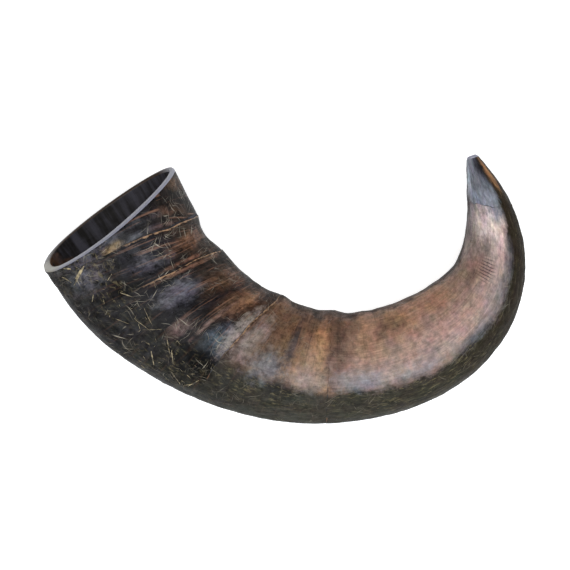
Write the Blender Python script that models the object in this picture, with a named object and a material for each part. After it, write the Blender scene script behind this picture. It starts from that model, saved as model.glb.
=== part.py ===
"""A shofar made from one water buffalo horn, lying on its side on a table.

A horn is a stack of keratin cones. Each was grown inside the one before it, and its edge shows as a
growth line on the outside, so the nodes are those cones: from bell_cone, the youngest, at the sawn
mouth, to tip_cone, the oldest, which holds the drilled blowing hole. Each cone's spigot sits in the
socket of the next older one, and together they leave the air column: the hollow of the bone core, and
the drilled bore that joins it to the tip.

Metres, +Z up. X runs across the horn from bell to tip and Y from the belly to the two ends. The
origin is on the table, at the middle of the horn's box.
"""

from functools import partial
from math import atan2, cos, exp, hypot, pi, radians, sin

import bmesh
import bpy
from mathutils import Matrix, Vector

MM = 0.001

# The horn's run, from the sawn mouth to the blunt tip: the spine's x and y, the half width across the
# bend, the spine's height over the table, and the half thickness, all in millimetres.
STATIONS = (
    # x,     y, width, height, thickness
    (-89.5, 37.2, 43.2, 27.2, 25.0),
    (-71.7, 7.0, 39.6, 25.8, 23.8),
    (-47.2, -15.0, 36.2, 24.0, 22.8),
    (-21.3, -29.9, 32.9, 22.4, 21.8),
    (5.2, -38.2, 30.4, 21.2, 21.0),
    (32.7, -40.0, 28.0, 20.0, 19.8),
    (59.0, -34.6, 27.2, 19.2, 19.0),
    (80.9, -23.7, 25.8, 18.2, 18.0),
    (97.1, -9.0, 22.8, 16.9, 16.6),
    (105.4, 6.2, 19.2, 15.2, 14.6),
    (108.2, 21.9, 16.2, 13.8, 12.6),
    (106.8, 39.1, 12.5, 14.2, 10.2),
    (102.3, 54.1, 8.5, 16.6, 7.4),
    (98.6, 63.6, 5.0, 19.0, 4.7),
    (96.6, 69.3, 2.8, 20.4, 2.8),
)

# How the cross-section changes along the run, as (share of the length, value). The ridge is the soft
# corner that runs down the upper outer side, and its angle is counted up from the outer side.
MOUTH_YAW = ((0.0, 4.1), (0.1, 1.8), (0.22, 0.0), (1.0, 0.0))
MOUTH_PITCH = ((0.0, 18.2), (0.12, 12.1), (0.34, 0.0), (1.0, 0.0))
ROLL = ((0.0, 18.0), (0.25, 11.0), (0.5, 3.0), (1.0, 0.0))
RIDGE_ANGLE = ((0.0, 18.0), (0.2, 32.0), (0.45, 56.0), (0.8, 56.0), (1.0, 50.0))
RIDGE_HEIGHT = ((0.0, 0.05), (0.3, 0.06), (0.7, 0.06), (0.92, 0.04), (1.0, 0.0))
RIDGE_SPREAD = radians(20)
LOWER_RIDGE_ANGLE = radians(-48)
LOWER_RIDGE_SHARE = 0.6
EGG = ((0.0, 0.10), (0.4, 0.14), (0.85, 0.10), (1.0, 0.0))

# Growth lines, from the mouth to the tip: the cone on the mouth's side, the line's distance from the
# mouth at the outer curve, how far it leans towards the tip at the inner curve, how far the horn swells
# there, and the length of the cone's spigot at the outer and the inner curve, in millimetres.
GROWTH_LINES = (
    ("bell_cone", 6.5, 20.0, 1.2, 13.0, 13.0),
    ("flare_cone", 29.5, 30.0, 1.3, 15.0, 15.0),
    ("shoulder_cone", 88.0, 20.0, 1.2, 18.0, 14.0),
    ("belly_cone", 143.5, 2.5, 1.5, 16.0, 16.0),
    ("bend_cone", 279.0, 9.0, 0.0, 16.0, 7.0),
)
TIP_NODE = "tip_cone"
SWELL_SPREAD = 7.0 * MM

# The wall round the hollow, thickest at the upper outer side, and the bore that is drilled to it.
WALL_MEAN = ((0.0, 3.7), (0.3, 6.0), (0.5, 9.0), (0.66, 12.6), (1.0, 12.6))
WALL_SWING = 1.2 * MM
WALL_THICK_ANGLE = radians(55)
HOLLOW_SHARE = 0.76
HOLLOW_TAPER = 24 * MM
BORE_AT_HOLLOW = 3.2 * MM
BORE_AT_TIP = 1.3 * MM
CUP_RADIUS = 1.75 * MM
CUP_DEPTH = 3.5 * MM

# The nested joint between two cones.
GAP = 0.3 * MM
EDGE_THICKNESS = 0.9 * MM
RIM_ROUNDING = 0.7 * MM

AROUND = 32
ROW_PITCH = 5.5 * MM
LAP_ROWS = 3

KERATIN = {
    "bell_cone": (0.030, 0.028, 0.030),
    "flare_cone": (0.045, 0.038, 0.036),
    "shoulder_cone": (0.085, 0.065, 0.055),
    "belly_cone": (0.175, 0.115, 0.075),
    "bend_cone": (0.200, 0.130, 0.095),
    "tip_cone": (0.070, 0.070, 0.080),
}


def smooth(knots, x):
    """The value at x of a smooth curve through the knots, which are (x, value) in rising order."""
    last = len(knots) - 1
    i = max(k for k in range(last) if knots[k][0] <= max(x, knots[0][0]))

    def slope(k):
        low, high = knots[max(k - 1, 0)], knots[min(k + 1, last)]
        return (high[1] - low[1]) / (high[0] - low[0])

    (x0, y0), (x1, y1) = knots[i], knots[i + 1]
    span = x1 - x0
    t = min(1.0, (x - x0) / span)
    rise = 3 * t * t - 2 * t * t * t
    return (
        y0 * (1 - rise)
        + y1 * rise
        + span * slope(i) * t * (1 - t) ** 2
        - span * slope(i + 1) * t * t * (1 - t)
    )


def run_of(column):
    """One column of STATIONS in metres, against the distance along the spine from the mouth."""
    knots, run = [], 0.0
    for k, row in enumerate(STATIONS):
        if k:
            before = STATIONS[k - 1]
            run += hypot(row[0] - before[0], row[1] - before[1]) * MM
        knots.append((run, row[column] * MM))
    return knots


SPINE_X, SPINE_Y, HALF_WIDTH, HEIGHT, HALF_THICKNESS = (run_of(c) for c in range(5))
LENGTH = SPINE_X[-1][0]
HOLLOW_END = HOLLOW_SHARE * LENGTH


def innerness(angle):
    """0 at the outer curve, a quarter half way round, and 1 at the inner curve."""
    return (0.5 - 0.5 * cos(angle)) ** 2


def growth_line(k, angle):
    """Distance from the mouth of growth line k, at an angle round the horn."""
    along, lean = GROWTH_LINES[k][1:3]
    return (along + lean * innerness(angle)) * MM


def bump(offset, spread):
    return exp(-((offset / spread) ** 2))


def turn_between(a, b):
    """The signed angle from b to a."""
    return atan2(sin(a - b), cos(a - b))


def outline(run, angle):
    """Radius vector of the cross-section in its own plane: (towards the outer curve, up)."""
    share = run / LENGTH
    ridge = radians(smooth(RIDGE_ANGLE, share))
    height = smooth(RIDGE_HEIGHT, share)
    swell = 1 + height * (
        bump(turn_between(angle, ridge), RIDGE_SPREAD)
        + LOWER_RIDGE_SHARE * bump(turn_between(angle, LOWER_RIDGE_ANGLE), RIDGE_SPREAD)
    )
    across = smooth(HALF_WIDTH, run) * cos(angle) * swell
    up = smooth(HALF_THICKNESS, run) * swell
    up *= sin(angle) + smooth(EGG, share) * sin(2 * angle)
    for k, line in enumerate(GROWTH_LINES):
        rise = line[3] * MM * bump(run - growth_line(k, angle), SWELL_SPREAD)
        across += rise * innerness(angle) * cos(angle)
    roll = radians(smooth(ROLL, share))
    return across * cos(roll) - up * sin(roll), across * sin(roll) + up * cos(roll)


def frame_at(run):
    """The section's centre, its outward direction, and its up direction, pitched at the mouth."""
    step = 0.5 * MM
    ahead = Vector((smooth(SPINE_X, run + step), smooth(SPINE_Y, run + step), 0))
    behind = Vector((smooth(SPINE_X, run - step), smooth(SPINE_Y, run - step), 0))
    yaw = Matrix.Rotation(radians(smooth(MOUTH_YAW, run / LENGTH)), 3, "Z")
    to_mouth = yaw @ (behind - ahead).normalized()
    outwards = Vector((-to_mouth.y, to_mouth.x, 0))
    pitch = radians(smooth(MOUTH_PITCH, run / LENGTH))
    up = Vector((0, 0, 1)) * cos(pitch) - to_mouth * sin(pitch)
    centre = Vector((smooth(SPINE_X, run), smooth(SPINE_Y, run), smooth(HEIGHT, run)))
    return centre, outwards, up


def hollow_depth(run, angle, radius):
    """How deep under the outside the air column's wall lies."""
    share = run / LENGTH
    wall = smooth(WALL_MEAN, share) * MM
    wall += WALL_SWING * cos(angle - WALL_THICK_ANGLE)
    closing = min(1.0, max(0.0, (HOLLOW_END - run) / HOLLOW_TAPER))
    core = (radius - wall) * closing**0.5 if radius > wall else 0.0
    drilled = max(0.0, (run - HOLLOW_END) / (LENGTH - HOLLOW_END))
    bore = BORE_AT_HOLLOW + (BORE_AT_TIP - BORE_AT_HOLLOW) * drilled
    cup = max(0.0, 1 - (LENGTH - run) / CUP_DEPTH)
    bore += (CUP_RADIUS - BORE_AT_TIP) * cup**2
    return radius - max(core, bore)


def point_at(run, angle, depth_rule):
    """The point at a distance from the mouth and an angle, as deep as depth_rule says."""
    centre, outwards, up = frame_at(run)
    across, rise = outline(run, angle)
    radius = hypot(across, rise)
    depth = depth_rule(run, angle, radius)
    kept = 1 - depth / radius
    return centre + (outwards * across + up * rise) * kept


def spigot_tip(k, angle):
    """Distance from the mouth of the end of cone k's spigot."""
    at_outer, at_inner = GROWTH_LINES[k][4:6]
    return growth_line(k, angle) + (at_outer + (at_inner - at_outer) * innerness(angle)) * MM


def joint_depth(k, extra):
    """Depth rule of the joint at growth line k: from its thin edge to the middle of the wall."""

    def rule(run, angle, radius):
        start = growth_line(k, angle)
        share = min(1.0, max(0.0, (run - start) / (spigot_tip(k, angle) - start)))
        middle = 0.5 * hollow_depth(run, angle, radius)
        return EDGE_THICKNESS + (middle - EDGE_THICKNESS) * share + extra

    return rule


def outside(run, angle, radius):
    return 0.0


def deeper(rule, amount):
    return lambda run, angle, radius: rule(run, angle, radius) + amount


def between(start, end, share):
    """The distance from the mouth that lies part of the way from one edge to another."""
    return lambda angle: start(angle) * (1 - share) + end(angle) * share


def rows(start, end, rule, count):
    """Rings from start up to, and not including, end."""
    return [(between(start, end, row / count), rule) for row in range(count)]


def joint_rows(k, extra):
    """The rings that the spigot and the socket at growth line k share, all at the same distances."""
    line, tip = partial(growth_line, k), partial(spigot_tip, k)
    shares = [row / LAP_ROWS for row in range(1, LAP_ROWS + 1)]
    return [(between(line, tip, share), joint_depth(k, extra)) for share in shares]


def mouth_end():
    """Rings round the sawn rim, from the hollow to the outside."""
    return [
        (lambda angle: RIM_ROUNDING, hollow_depth),
        (lambda angle: 0.0, deeper(hollow_depth, -RIM_ROUNDING)),
        (lambda angle: 0.0, deeper(outside, RIM_ROUNDING)),
    ]


def socket_end(k):
    """Rings from the hollow up the socket that holds cone k - 1, to the growth line."""
    bottom = lambda angle: spigot_tip(k - 1, angle) + GAP
    rings = [(bottom, hollow_depth), (bottom, joint_depth(k - 1, 0.0))]
    rings += reversed(joint_rows(k - 1, 0.0)[:-1])
    rings.append((partial(growth_line, k - 1), joint_depth(k - 1, 0.0)))
    return rings


def tip_end():
    """Rings round the blunt tip, from the outside to the blowing hole."""
    return [
        (lambda angle: LENGTH - RIM_ROUNDING, outside),
        (lambda angle: LENGTH, deeper(outside, RIM_ROUNDING)),
        (lambda angle: LENGTH, hollow_depth),
    ]


def spigot_end(k):
    """Rings from the outside at growth line k down and along cone k's spigot, to the hollow."""
    edge = lambda angle: growth_line(k, angle) - GAP
    rings = [(edge, outside), (edge, joint_depth(k, GAP))]
    rings += joint_rows(k, GAP)
    rings.append((partial(spigot_tip, k), hollow_depth))
    return rings


def cone_rings(k):
    """The closed run of rings round cone k: one end, the outside, the other end, and the hollow."""
    near = socket_end(k) if k else mouth_end()
    far = tip_end() if k == len(GROWTH_LINES) else spigot_end(k)
    first_outside = partial(growth_line, k - 1) if k else lambda angle: RIM_ROUNDING
    outer = ring_count(first_outside(0), far[0][0](0))
    inner = ring_count(near[0][0](0), far[-1][0](0))
    rings = near + rows(first_outside, far[0][0], outside, outer)
    rings += far + rows(far[-1][0], near[0][0], hollow_depth, inner)[1:]
    return rings


def ring_count(start, end):
    return max(2, round((end - start) / ROW_PITCH))


def keratin(name, colour):
    material = bpy.data.materials.new(name + "_keratin")
    material.use_nodes = True
    shader = material.node_tree.nodes["Principled BSDF"]
    shader.inputs["Base Color"].default_value = (*colour, 1)
    shader.inputs["Roughness"].default_value = 0.35
    shader.inputs["Metallic"].default_value = 0.0
    return material


def build_cone(name, k):
    """One growth cone: a closed tube of rings, each bridged to the next."""
    mesh = bmesh.new()
    loops = []
    for run_at, rule in cone_rings(k):
        loop = []
        for step in range(AROUND):
            angle = 2 * pi * step / AROUND
            loop.append(mesh.verts.new(point_at(run_at(angle), angle, rule)))
        loops.append(loop)
    for here, following in zip(loops, loops[1:] + loops[:1]):
        for i in range(AROUND):
            j = (i + 1) % AROUND
            mesh.faces.new((here[i], here[j], following[j], following[i]))
    bmesh.ops.recalc_face_normals(mesh, faces=mesh.faces)
    data = bpy.data.meshes.new(name)
    mesh.to_mesh(data)
    mesh.free()
    data.shade_smooth()
    data.set_sharp_from_angle(angle=radians(35))
    cone = bpy.data.objects.new(name, data)
    bpy.context.scene.collection.objects.link(cone)
    data.materials.append(keratin(name, KERATIN[name]))
    return cone


def settle_on_table(cones):
    """Brings the middle of the horn's box over the origin, and its lowest point down to the table."""
    points = [vertex.co for cone in cones for vertex in cone.data.vertices]
    low = [min(point[axis] for point in points) for axis in range(3)]
    high = [max(point[axis] for point in points) for axis in range(3)]
    middle = Vector(((low[0] + high[0]) / 2, (low[1] + high[1]) / 2, low[2]))
    for cone in cones:
        cone.data.transform(Matrix.Translation(-middle))


def main():
    for old in list(bpy.data.objects):
        bpy.data.objects.remove(old)
    names = [line[0] for line in GROWTH_LINES] + [TIP_NODE]
    settle_on_table([build_cone(name, k) for k, name in enumerate(names)])


main()
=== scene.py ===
from math import atan, atan2, cos, exp, hypot, pi, radians, sin
from random import Random

import bmesh
import bpy
from mathutils import Matrix, Vector


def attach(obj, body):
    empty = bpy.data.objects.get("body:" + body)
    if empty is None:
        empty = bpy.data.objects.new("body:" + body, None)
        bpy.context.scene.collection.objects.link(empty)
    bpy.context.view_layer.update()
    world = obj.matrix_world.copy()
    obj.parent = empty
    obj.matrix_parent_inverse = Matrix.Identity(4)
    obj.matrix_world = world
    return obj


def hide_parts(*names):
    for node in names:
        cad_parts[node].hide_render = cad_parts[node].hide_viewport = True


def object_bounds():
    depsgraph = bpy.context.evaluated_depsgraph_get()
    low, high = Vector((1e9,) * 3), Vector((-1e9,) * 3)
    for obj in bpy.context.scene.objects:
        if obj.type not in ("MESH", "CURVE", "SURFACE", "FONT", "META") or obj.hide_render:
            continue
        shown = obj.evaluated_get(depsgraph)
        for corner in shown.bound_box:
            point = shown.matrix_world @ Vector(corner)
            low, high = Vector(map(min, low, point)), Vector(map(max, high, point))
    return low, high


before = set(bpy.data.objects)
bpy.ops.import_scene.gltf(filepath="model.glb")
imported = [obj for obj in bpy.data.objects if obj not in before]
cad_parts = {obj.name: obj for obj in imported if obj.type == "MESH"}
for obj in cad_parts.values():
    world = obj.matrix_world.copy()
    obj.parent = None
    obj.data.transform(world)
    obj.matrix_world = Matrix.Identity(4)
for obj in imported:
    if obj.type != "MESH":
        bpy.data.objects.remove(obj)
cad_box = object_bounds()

# ---------------------------------------------------------------------------------------------------
# The camera, straight above the horn as it lies on its side. It stands a long way up with a narrow
# view, so that the horn is seen nearly flat.

CAMERA_HEIGHT = 1.7
VIEW_WIDTH = 0.2936
VIEW_CENTRE = (-0.0002, 0.0019)
HORN_MIDDLE_Z = 0.022

camera = bpy.data.objects.new("camera", bpy.data.cameras.new("camera"))
bpy.context.scene.collection.objects.link(camera)
camera.location = (*VIEW_CENTRE, CAMERA_HEIGHT)
camera.data.angle = 2 * atan(VIEW_WIDTH / 2 / (CAMERA_HEIGHT - HORN_MIDDLE_Z))
bpy.context.scene.camera = camera

# ---------------------------------------------------------------------------------------------------
# The bell sheath: the youngest keratin of the horn, sawn off at the mouth, near black, scraped and
# oiled, with rusty growth lines on the inner half. It is rings of a closed shell under subdivision,
# from the spine, a rounded three-cornered section and the growth lines. Its form is reckoned in mm.

MM = 0.001
STATIONS = (
    # x, y, half width, height of the spine, half thickness
    (-89.5, 37.2, 43.2, 27.2, 25.0),
    (-71.7, 7.0, 39.6, 25.8, 23.8),
    (-47.2, -15.0, 36.2, 24.0, 22.8),
    (-21.3, -29.9, 32.9, 22.4, 21.8),
    (5.2, -38.2, 30.4, 21.2, 21.0),
    (32.7, -40.0, 28.0, 20.0, 19.8),
    (59.0, -34.6, 27.2, 19.2, 19.0),
    (80.9, -23.7, 25.8, 18.2, 18.0),
    (97.1, -9.0, 22.8, 16.9, 16.6),
    (105.4, 6.2, 19.2, 15.2, 14.6),
    (108.2, 21.9, 16.2, 13.8, 12.6),
    (106.8, 39.1, 12.5, 14.2, 10.2),
    (102.3, 54.1, 8.5, 16.6, 7.4),
    (98.6, 63.6, 5.0, 19.0, 4.7),
    (96.6, 69.3, 2.8, 20.4, 2.8),
)

# Each of these runs from mouth to tip as (share of the length, value), in degrees, shares or mm.
MOUTH_YAW = ((0.0, 4.1), (0.1, 1.8), (0.22, 0.0), (1.0, 0.0))
MOUTH_PITCH = ((0.0, 18.2), (0.12, 12.1), (0.34, 0.0), (1.0, 0.0))
ROLL = ((0.0, 18.0), (0.25, 11.0), (0.5, 3.0), (1.0, 0.0))
RIDGE_ANGLE = ((0.0, 18.0), (0.2, 32.0), (0.45, 56.0), (0.8, 56.0), (1.0, 50.0))
RIDGE_HEIGHT = ((0.0, 0.05), (0.3, 0.06), (0.7, 0.06), (0.92, 0.04), (1.0, 0.0))
RIDGE_SPREAD = radians(20)
LOWER_RIDGE_ANGLE = radians(-48)
LOWER_RIDGE_SHARE = 0.6
EGG = ((0.0, 0.10), (0.4, 0.14), (0.85, 0.10), (1.0, 0.0))
WALL_MEAN = ((0.0, 3.7), (0.3, 6.0), (0.5, 9.0), (0.66, 12.6), (1.0, 12.6))
WALL_SWING = 1.2
WALL_THICK_ANGLE = radians(55)
HOLLOW_SHARE = 0.76
HOLLOW_TAPER = 24.0
BORE_AT_HOLLOW = 3.2
BORE_AT_TIP = 1.3
CUP_RADIUS = 1.75
CUP_DEPTH = 3.5

# Each line: distance from the mouth at the outer curve, lean towards the tip at the inner curve, swell
# of the horn, length of the spigot at the outer and inner curve, how proud the older edge stands, how
# pale it is from scraping, and how far its edge is worn in and out.
RUN, LEAN_IN, SWELL, SPIGOT_OUTER, SPIGOT_INNER, PROUD, PALE, WORN = range(8)
GROWTH_LINES = (
    (6.5, 20.0, 1.2, 13.0, 13.0, 0.26, 1.0, 0.34),
    (29.5, 30.0, 1.3, 15.0, 15.0, 0.32, 1.0, 0.34),
    (88.0, 20.0, 1.2, 18.0, 14.0, 0.26, 0.8, 0.34),
    (143.5, 2.5, 1.5, 16.0, 16.0, 0.07, 0.0, 0.15),
    (279.0, 9.0, 0.0, 16.0, 7.0, 0.04, 0.0, 0.42),
)
LEAN = ((0.0, 10.0), *((line[RUN], line[LEAN_IN]) for line in GROWTH_LINES), (311.0, 6.0))
SWELL_SPREAD = 7.0
LIP_FADE = 6.0
LEAST_LIP = 0.2
OVERHANG = 0.3
FEATHER = 0.03
SPIGOT_CLEARANCE = 0.2
RINGED_LENGTH = 190
WIDE_RINGS = 0.16
FINE_RINGS = 0.10
DENTS = 0.14
BURR = 0.7
BURR_RUN = 164.5
BURR_ANGLE = radians(172)
RELIEF = 0.2


def smooth(knots, x):
    """The value at x of a smooth curve through the knots, which are (x, value) in rising order."""
    last = len(knots) - 1
    i = 0
    while i < last - 1 and knots[i + 1][0] <= x:
        i += 1

    def slope(k):
        low, high = knots[max(k - 1, 0)], knots[min(k + 1, last)]
        return (high[1] - low[1]) / (high[0] - low[0])

    (x0, y0), (x1, y1) = knots[i], knots[i + 1]
    span = x1 - x0
    t = min(1.0, (x - x0) / span)
    rise = 3 * t * t - 2 * t * t * t
    lean_in = span * slope(i) * t * (1 - t) ** 2
    return y0 * (1 - rise) + y1 * rise + lean_in - span * slope(i + 1) * t * t * (1 - t)


def run_of(column):
    """One column of the stations as knots along the spine."""
    knots, run = [], 0.0
    for k, row in enumerate(STATIONS):
        if k:
            run += hypot(row[0] - STATIONS[k - 1][0], row[1] - STATIONS[k - 1][1])
        knots.append((run, row[column]))
    return knots


SPINE_X, SPINE_Y, HALF_WIDTH, HEIGHT, HALF_THICKNESS = (run_of(c) for c in range(5))
LENGTH = SPINE_X[-1][0]
HOLLOW_END = HOLLOW_SHARE * LENGTH
SLOPE_STEP = 0.5


def bump(offset, spread):
    """1 at no offset, falling away smoothly to either side."""
    return exp(-((offset / spread) ** 2))


def turn_between(a, b):
    """The short way round from angle b to angle a."""
    return atan2(sin(a - b), cos(a - b))


def innerness(angle):
    """0 at the outer curve, a quarter half way round, and 1 at the inner curve."""
    return (0.5 - 0.5 * cos(angle)) ** 2


def ragged(k, angle):
    """How far the feathered edge at line k has worn back or hangs over, at an angle round the horn."""
    waves = sin(7 * angle + 1.7 * k) + 0.7 * sin(13 * angle + 2.9 * k) + 0.5 * sin(22 * angle + k)
    return GROWTH_LINES[k][WORN] * waves


def scraped(k, angle):
    """How much line k shows: in full over the inner half, and hardly at the outer curve."""
    return GROWTH_LINES[k][PALE] * min(1.0, max(0.0, (innerness(angle) - 0.10) * 7))


def growth_line(k, angle):
    """Distance of line k from the mouth, at an angle round the horn."""
    return GROWTH_LINES[k][RUN] + GROWTH_LINES[k][LEAN_IN] * innerness(angle) + ragged(k, angle)


def ring_place(run, angle):
    """Distance from the mouth counted square to the growth lines, which lean, for bands of colour.
    Three rounds are enough for it to settle."""
    place = run
    for _ in range(3):
        place = run - smooth(LEAN, max(0.0, min(LENGTH, place))) * innerness(angle)
    return place


def outline(run, angle):
    """Radius vector of the section in its own plane: (towards the outer curve, up)."""
    share = run / LENGTH
    ridge = radians(smooth(RIDGE_ANGLE, share))
    swell = 1 + smooth(RIDGE_HEIGHT, share) * (
        bump(turn_between(angle, ridge), RIDGE_SPREAD)
        + LOWER_RIDGE_SHARE * bump(turn_between(angle, LOWER_RIDGE_ANGLE), RIDGE_SPREAD)
    )
    across = smooth(HALF_WIDTH, run) * cos(angle) * swell
    up = smooth(HALF_THICKNESS, run) * swell * (sin(angle) + smooth(EGG, share) * sin(2 * angle))
    for line in GROWTH_LINES:
        line_run = line[RUN] + line[LEAN_IN] * innerness(angle)
        across += line[SWELL] * bump(run - line_run, SWELL_SPREAD) * innerness(angle) * cos(angle)
    roll = radians(smooth(ROLL, share))
    return across * cos(roll) - up * sin(roll), across * sin(roll) + up * cos(roll)


def frame_at(run):
    """The spine's point at a distance from the mouth, with the ways outwards and up of its section."""
    dx = smooth(SPINE_X, run + SLOPE_STEP) - smooth(SPINE_X, run - SLOPE_STEP)
    dy = smooth(SPINE_Y, run + SLOPE_STEP) - smooth(SPINE_Y, run - SLOPE_STEP)
    turn = Matrix.Rotation(radians(smooth(MOUTH_YAW, run / LENGTH)), 3, "Z")
    to_mouth = turn @ Vector((-dx, -dy, 0)).normalized()
    outwards = Vector((-to_mouth.y, to_mouth.x, 0))
    pitch = radians(smooth(MOUTH_PITCH, run / LENGTH))
    up = Vector((0, 0, 1)) * cos(pitch) - to_mouth * sin(pitch)
    return Vector((smooth(SPINE_X, run), smooth(SPINE_Y, run), smooth(HEIGHT, run))), outwards, up


def hollow(run, angle, radius):
    """Depth of the air column's wall under the outside."""
    wall = smooth(WALL_MEAN, run / LENGTH) + WALL_SWING * cos(angle - WALL_THICK_ANGLE)
    closing = min(1.0, max(0.0, (HOLLOW_END - run) / HOLLOW_TAPER))
    core = (radius - wall) * closing**0.5 if radius > wall else 0.0
    bore = BORE_AT_HOLLOW
    bore += (BORE_AT_TIP - BORE_AT_HOLLOW) * max(0.0, (run - HOLLOW_END) / (LENGTH - HOLLOW_END))
    bore += (CUP_RADIUS - BORE_AT_TIP) * max(0.0, 1 - (LENGTH - run) / CUP_DEPTH) ** 2
    return radius - max(core, bore)


def spigot_tip(k, angle):
    """Distance from the mouth of the end of the spigot that starts at line k."""
    at_outer, at_inner = GROWTH_LINES[k][SPIGOT_OUTER], GROWTH_LINES[k][SPIGOT_INNER]
    return growth_line(k, angle) + at_outer + (at_inner - at_outer) * innerness(angle)


def joint(k, below=0.0):
    """Depth rule of the joint at line k: from the younger sheath's outside, or a little below it, to
    the middle of the wall."""
    outside = skin(k)

    def rule(run, angle, radius):
        start = growth_line(k, angle)
        share = min(1.0, max(0.0, (run - start) / (spigot_tip(k, angle) - start)))
        top = outside(run, angle, radius) + below
        return top + (0.5 * hollow(run, angle, radius) - top) * share**0.8

    return rule


def skin(k):
    """Depth rule of sheath k's outside: it stands a little proud at its edge, and has rings that fade
    towards the tip, shallow dents and one burr at the inner curve."""

    def rule(run, angle, radius):
        lip = 0.0
        if k:
            proud = GROWTH_LINES[k - 1][PROUD] * max(LEAST_LIP, scraped(k - 1, angle))
            lip = proud * exp(-max(0.0, run - growth_line(k - 1, angle)) / LIP_FADE)
        place = ring_place(run, angle)
        young = max(0.0, 1 - place / RINGED_LENGTH)
        rings = WIDE_RINGS * sin(place * 0.62 + 1.3 * sin(place * 0.17))
        rings += FINE_RINGS * sin(place * 1.13 + 2 * angle)
        dents = DENTS * sin(0.11 * run + 3.1 * angle) * sin(0.23 * run - 2 * angle + 1.1)
        burr = BURR * bump(run - BURR_RUN, 3.5) * bump(turn_between(angle, BURR_ANGLE), 0.25)
        ringed = rings * young * (0.35 + 0.65 * innerness(angle))
        return -lip - burr - ringed - dents * min(1.0, radius / 12)

    return rule


def surface_point(run, angle, rule):
    """The point, in metres, that a depth rule gives under the horn's outline."""
    centre, outwards, up = frame_at(run)
    across, rise = outline(run, angle)
    radius = hypot(across, rise)
    kept = 1 - rule(run, angle, radius) / radius
    return (centre + (outwards * across + up * rise) * kept) * MM


# The form above is made from the spine, and the CAD solids lie settled on the table: this is the
# small move between the two, raised by the relief so that the horn rests on the table.
BARE_ROWS = 90
BARE_STEPS = 64
bare = [
    surface_point(LENGTH * row / BARE_ROWS, 2 * pi * step / BARE_STEPS, lambda run, angle, radius: 0.0)
    for row in range(BARE_ROWS + 1)
    for step in range(BARE_STEPS)
]
bare_low = Vector(min(point[axis] for point in bare) for axis in range(3))
bare_high = Vector(max(point[axis] for point in bare) for axis in range(3))
settle = (cad_box[0] + cad_box[1] - bare_low - bare_high) / 2
settle.z = cad_box[0].z - bare_low.z + RELIEF * MM


# In metres, as the materials read them, but for the place of the wrinkles.
GROWTH_RADIUS = 0.03
COLOUR_START = 0.0115
COLOUR_LENGTH = 0.305
WRINKLE_PLACE = (247.5, radians(98))


def growth_place(run, angle):
    """Where the keratin grew, in metres: distance from the mouth along the growth lines, and two
    parts of the way round, so that a pattern in it follows the horn and has no seam."""
    return ring_place(run, angle) * MM, GROWTH_RADIUS * cos(angle), GROWTH_RADIUS * sin(angle)


def tone(red, green, blue):
    """A linear colour from its 8-bit paint values."""
    channels = (c / 255 for c in (red, green, blue))
    return (*(c / 12.92 if c < 0.04045 else ((c + 0.055) / 1.055) ** 2.4 for c in channels), 1.0)


TOP_TONES = (
    (0.00, (19, 18, 21)),
    (0.10, (16, 15, 18)),
    (0.20, (18, 17, 19)),
    (0.28, (32, 27, 26)),
    (0.36, (92, 69, 52)),
    (0.45, (126, 95, 68)),
    (0.475, (92, 69, 57)),
    (0.52, (134, 106, 92)),
    (0.64, (140, 109, 96)),
    (0.78, (138, 112, 102)),
    (0.885, (160, 138, 132)),
    (0.905, (98, 98, 108)),
    (0.95, (68, 72, 82)),
    (1.00, (56, 56, 68)),
)
INNER_TONES = (
    (0.00, (26, 21, 18)),
    (0.06, (52, 35, 23)),
    (0.12, (26, 21, 17)),
    (0.18, (60, 38, 25)),
    (0.28, (56, 37, 26)),
    (0.38, (94, 67, 48)),
    (0.46, (88, 62, 47)),
    (0.60, (138, 106, 85)),
    (0.78, (124, 98, 85)),
    (0.90, (96, 86, 88)),
    (1.00, (120, 122, 130)),
)
OUTER_TONES = (
    (0.00, (33, 32, 33)),
    (0.22, (29, 28, 27)),
    (0.42, (46, 44, 37)),
    (0.60, (44, 41, 34)),
    (0.80, (36, 30, 23)),
    (0.92, (36, 29, 22)),
    (1.00, (50, 38, 28)),
)


def fill_ramp(ramp, tones):
    """Sets a colour ramp's stops from (place, paint colour)."""
    while len(ramp.elements) < len(tones):
        ramp.elements.new(0.5)
    for stop, (place, colour) in zip(ramp.elements, tones):
        stop.position = place
        stop.color = tone(*colour)


def lay_out(columns):
    """Sets a material's nodes out in columns, each column under its frame."""
    for column, (group, members) in enumerate(columns):
        for row, node in enumerate(members):
            node.parent = group
            node.location = (310 * (column - len(columns)), -240 * row)


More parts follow.
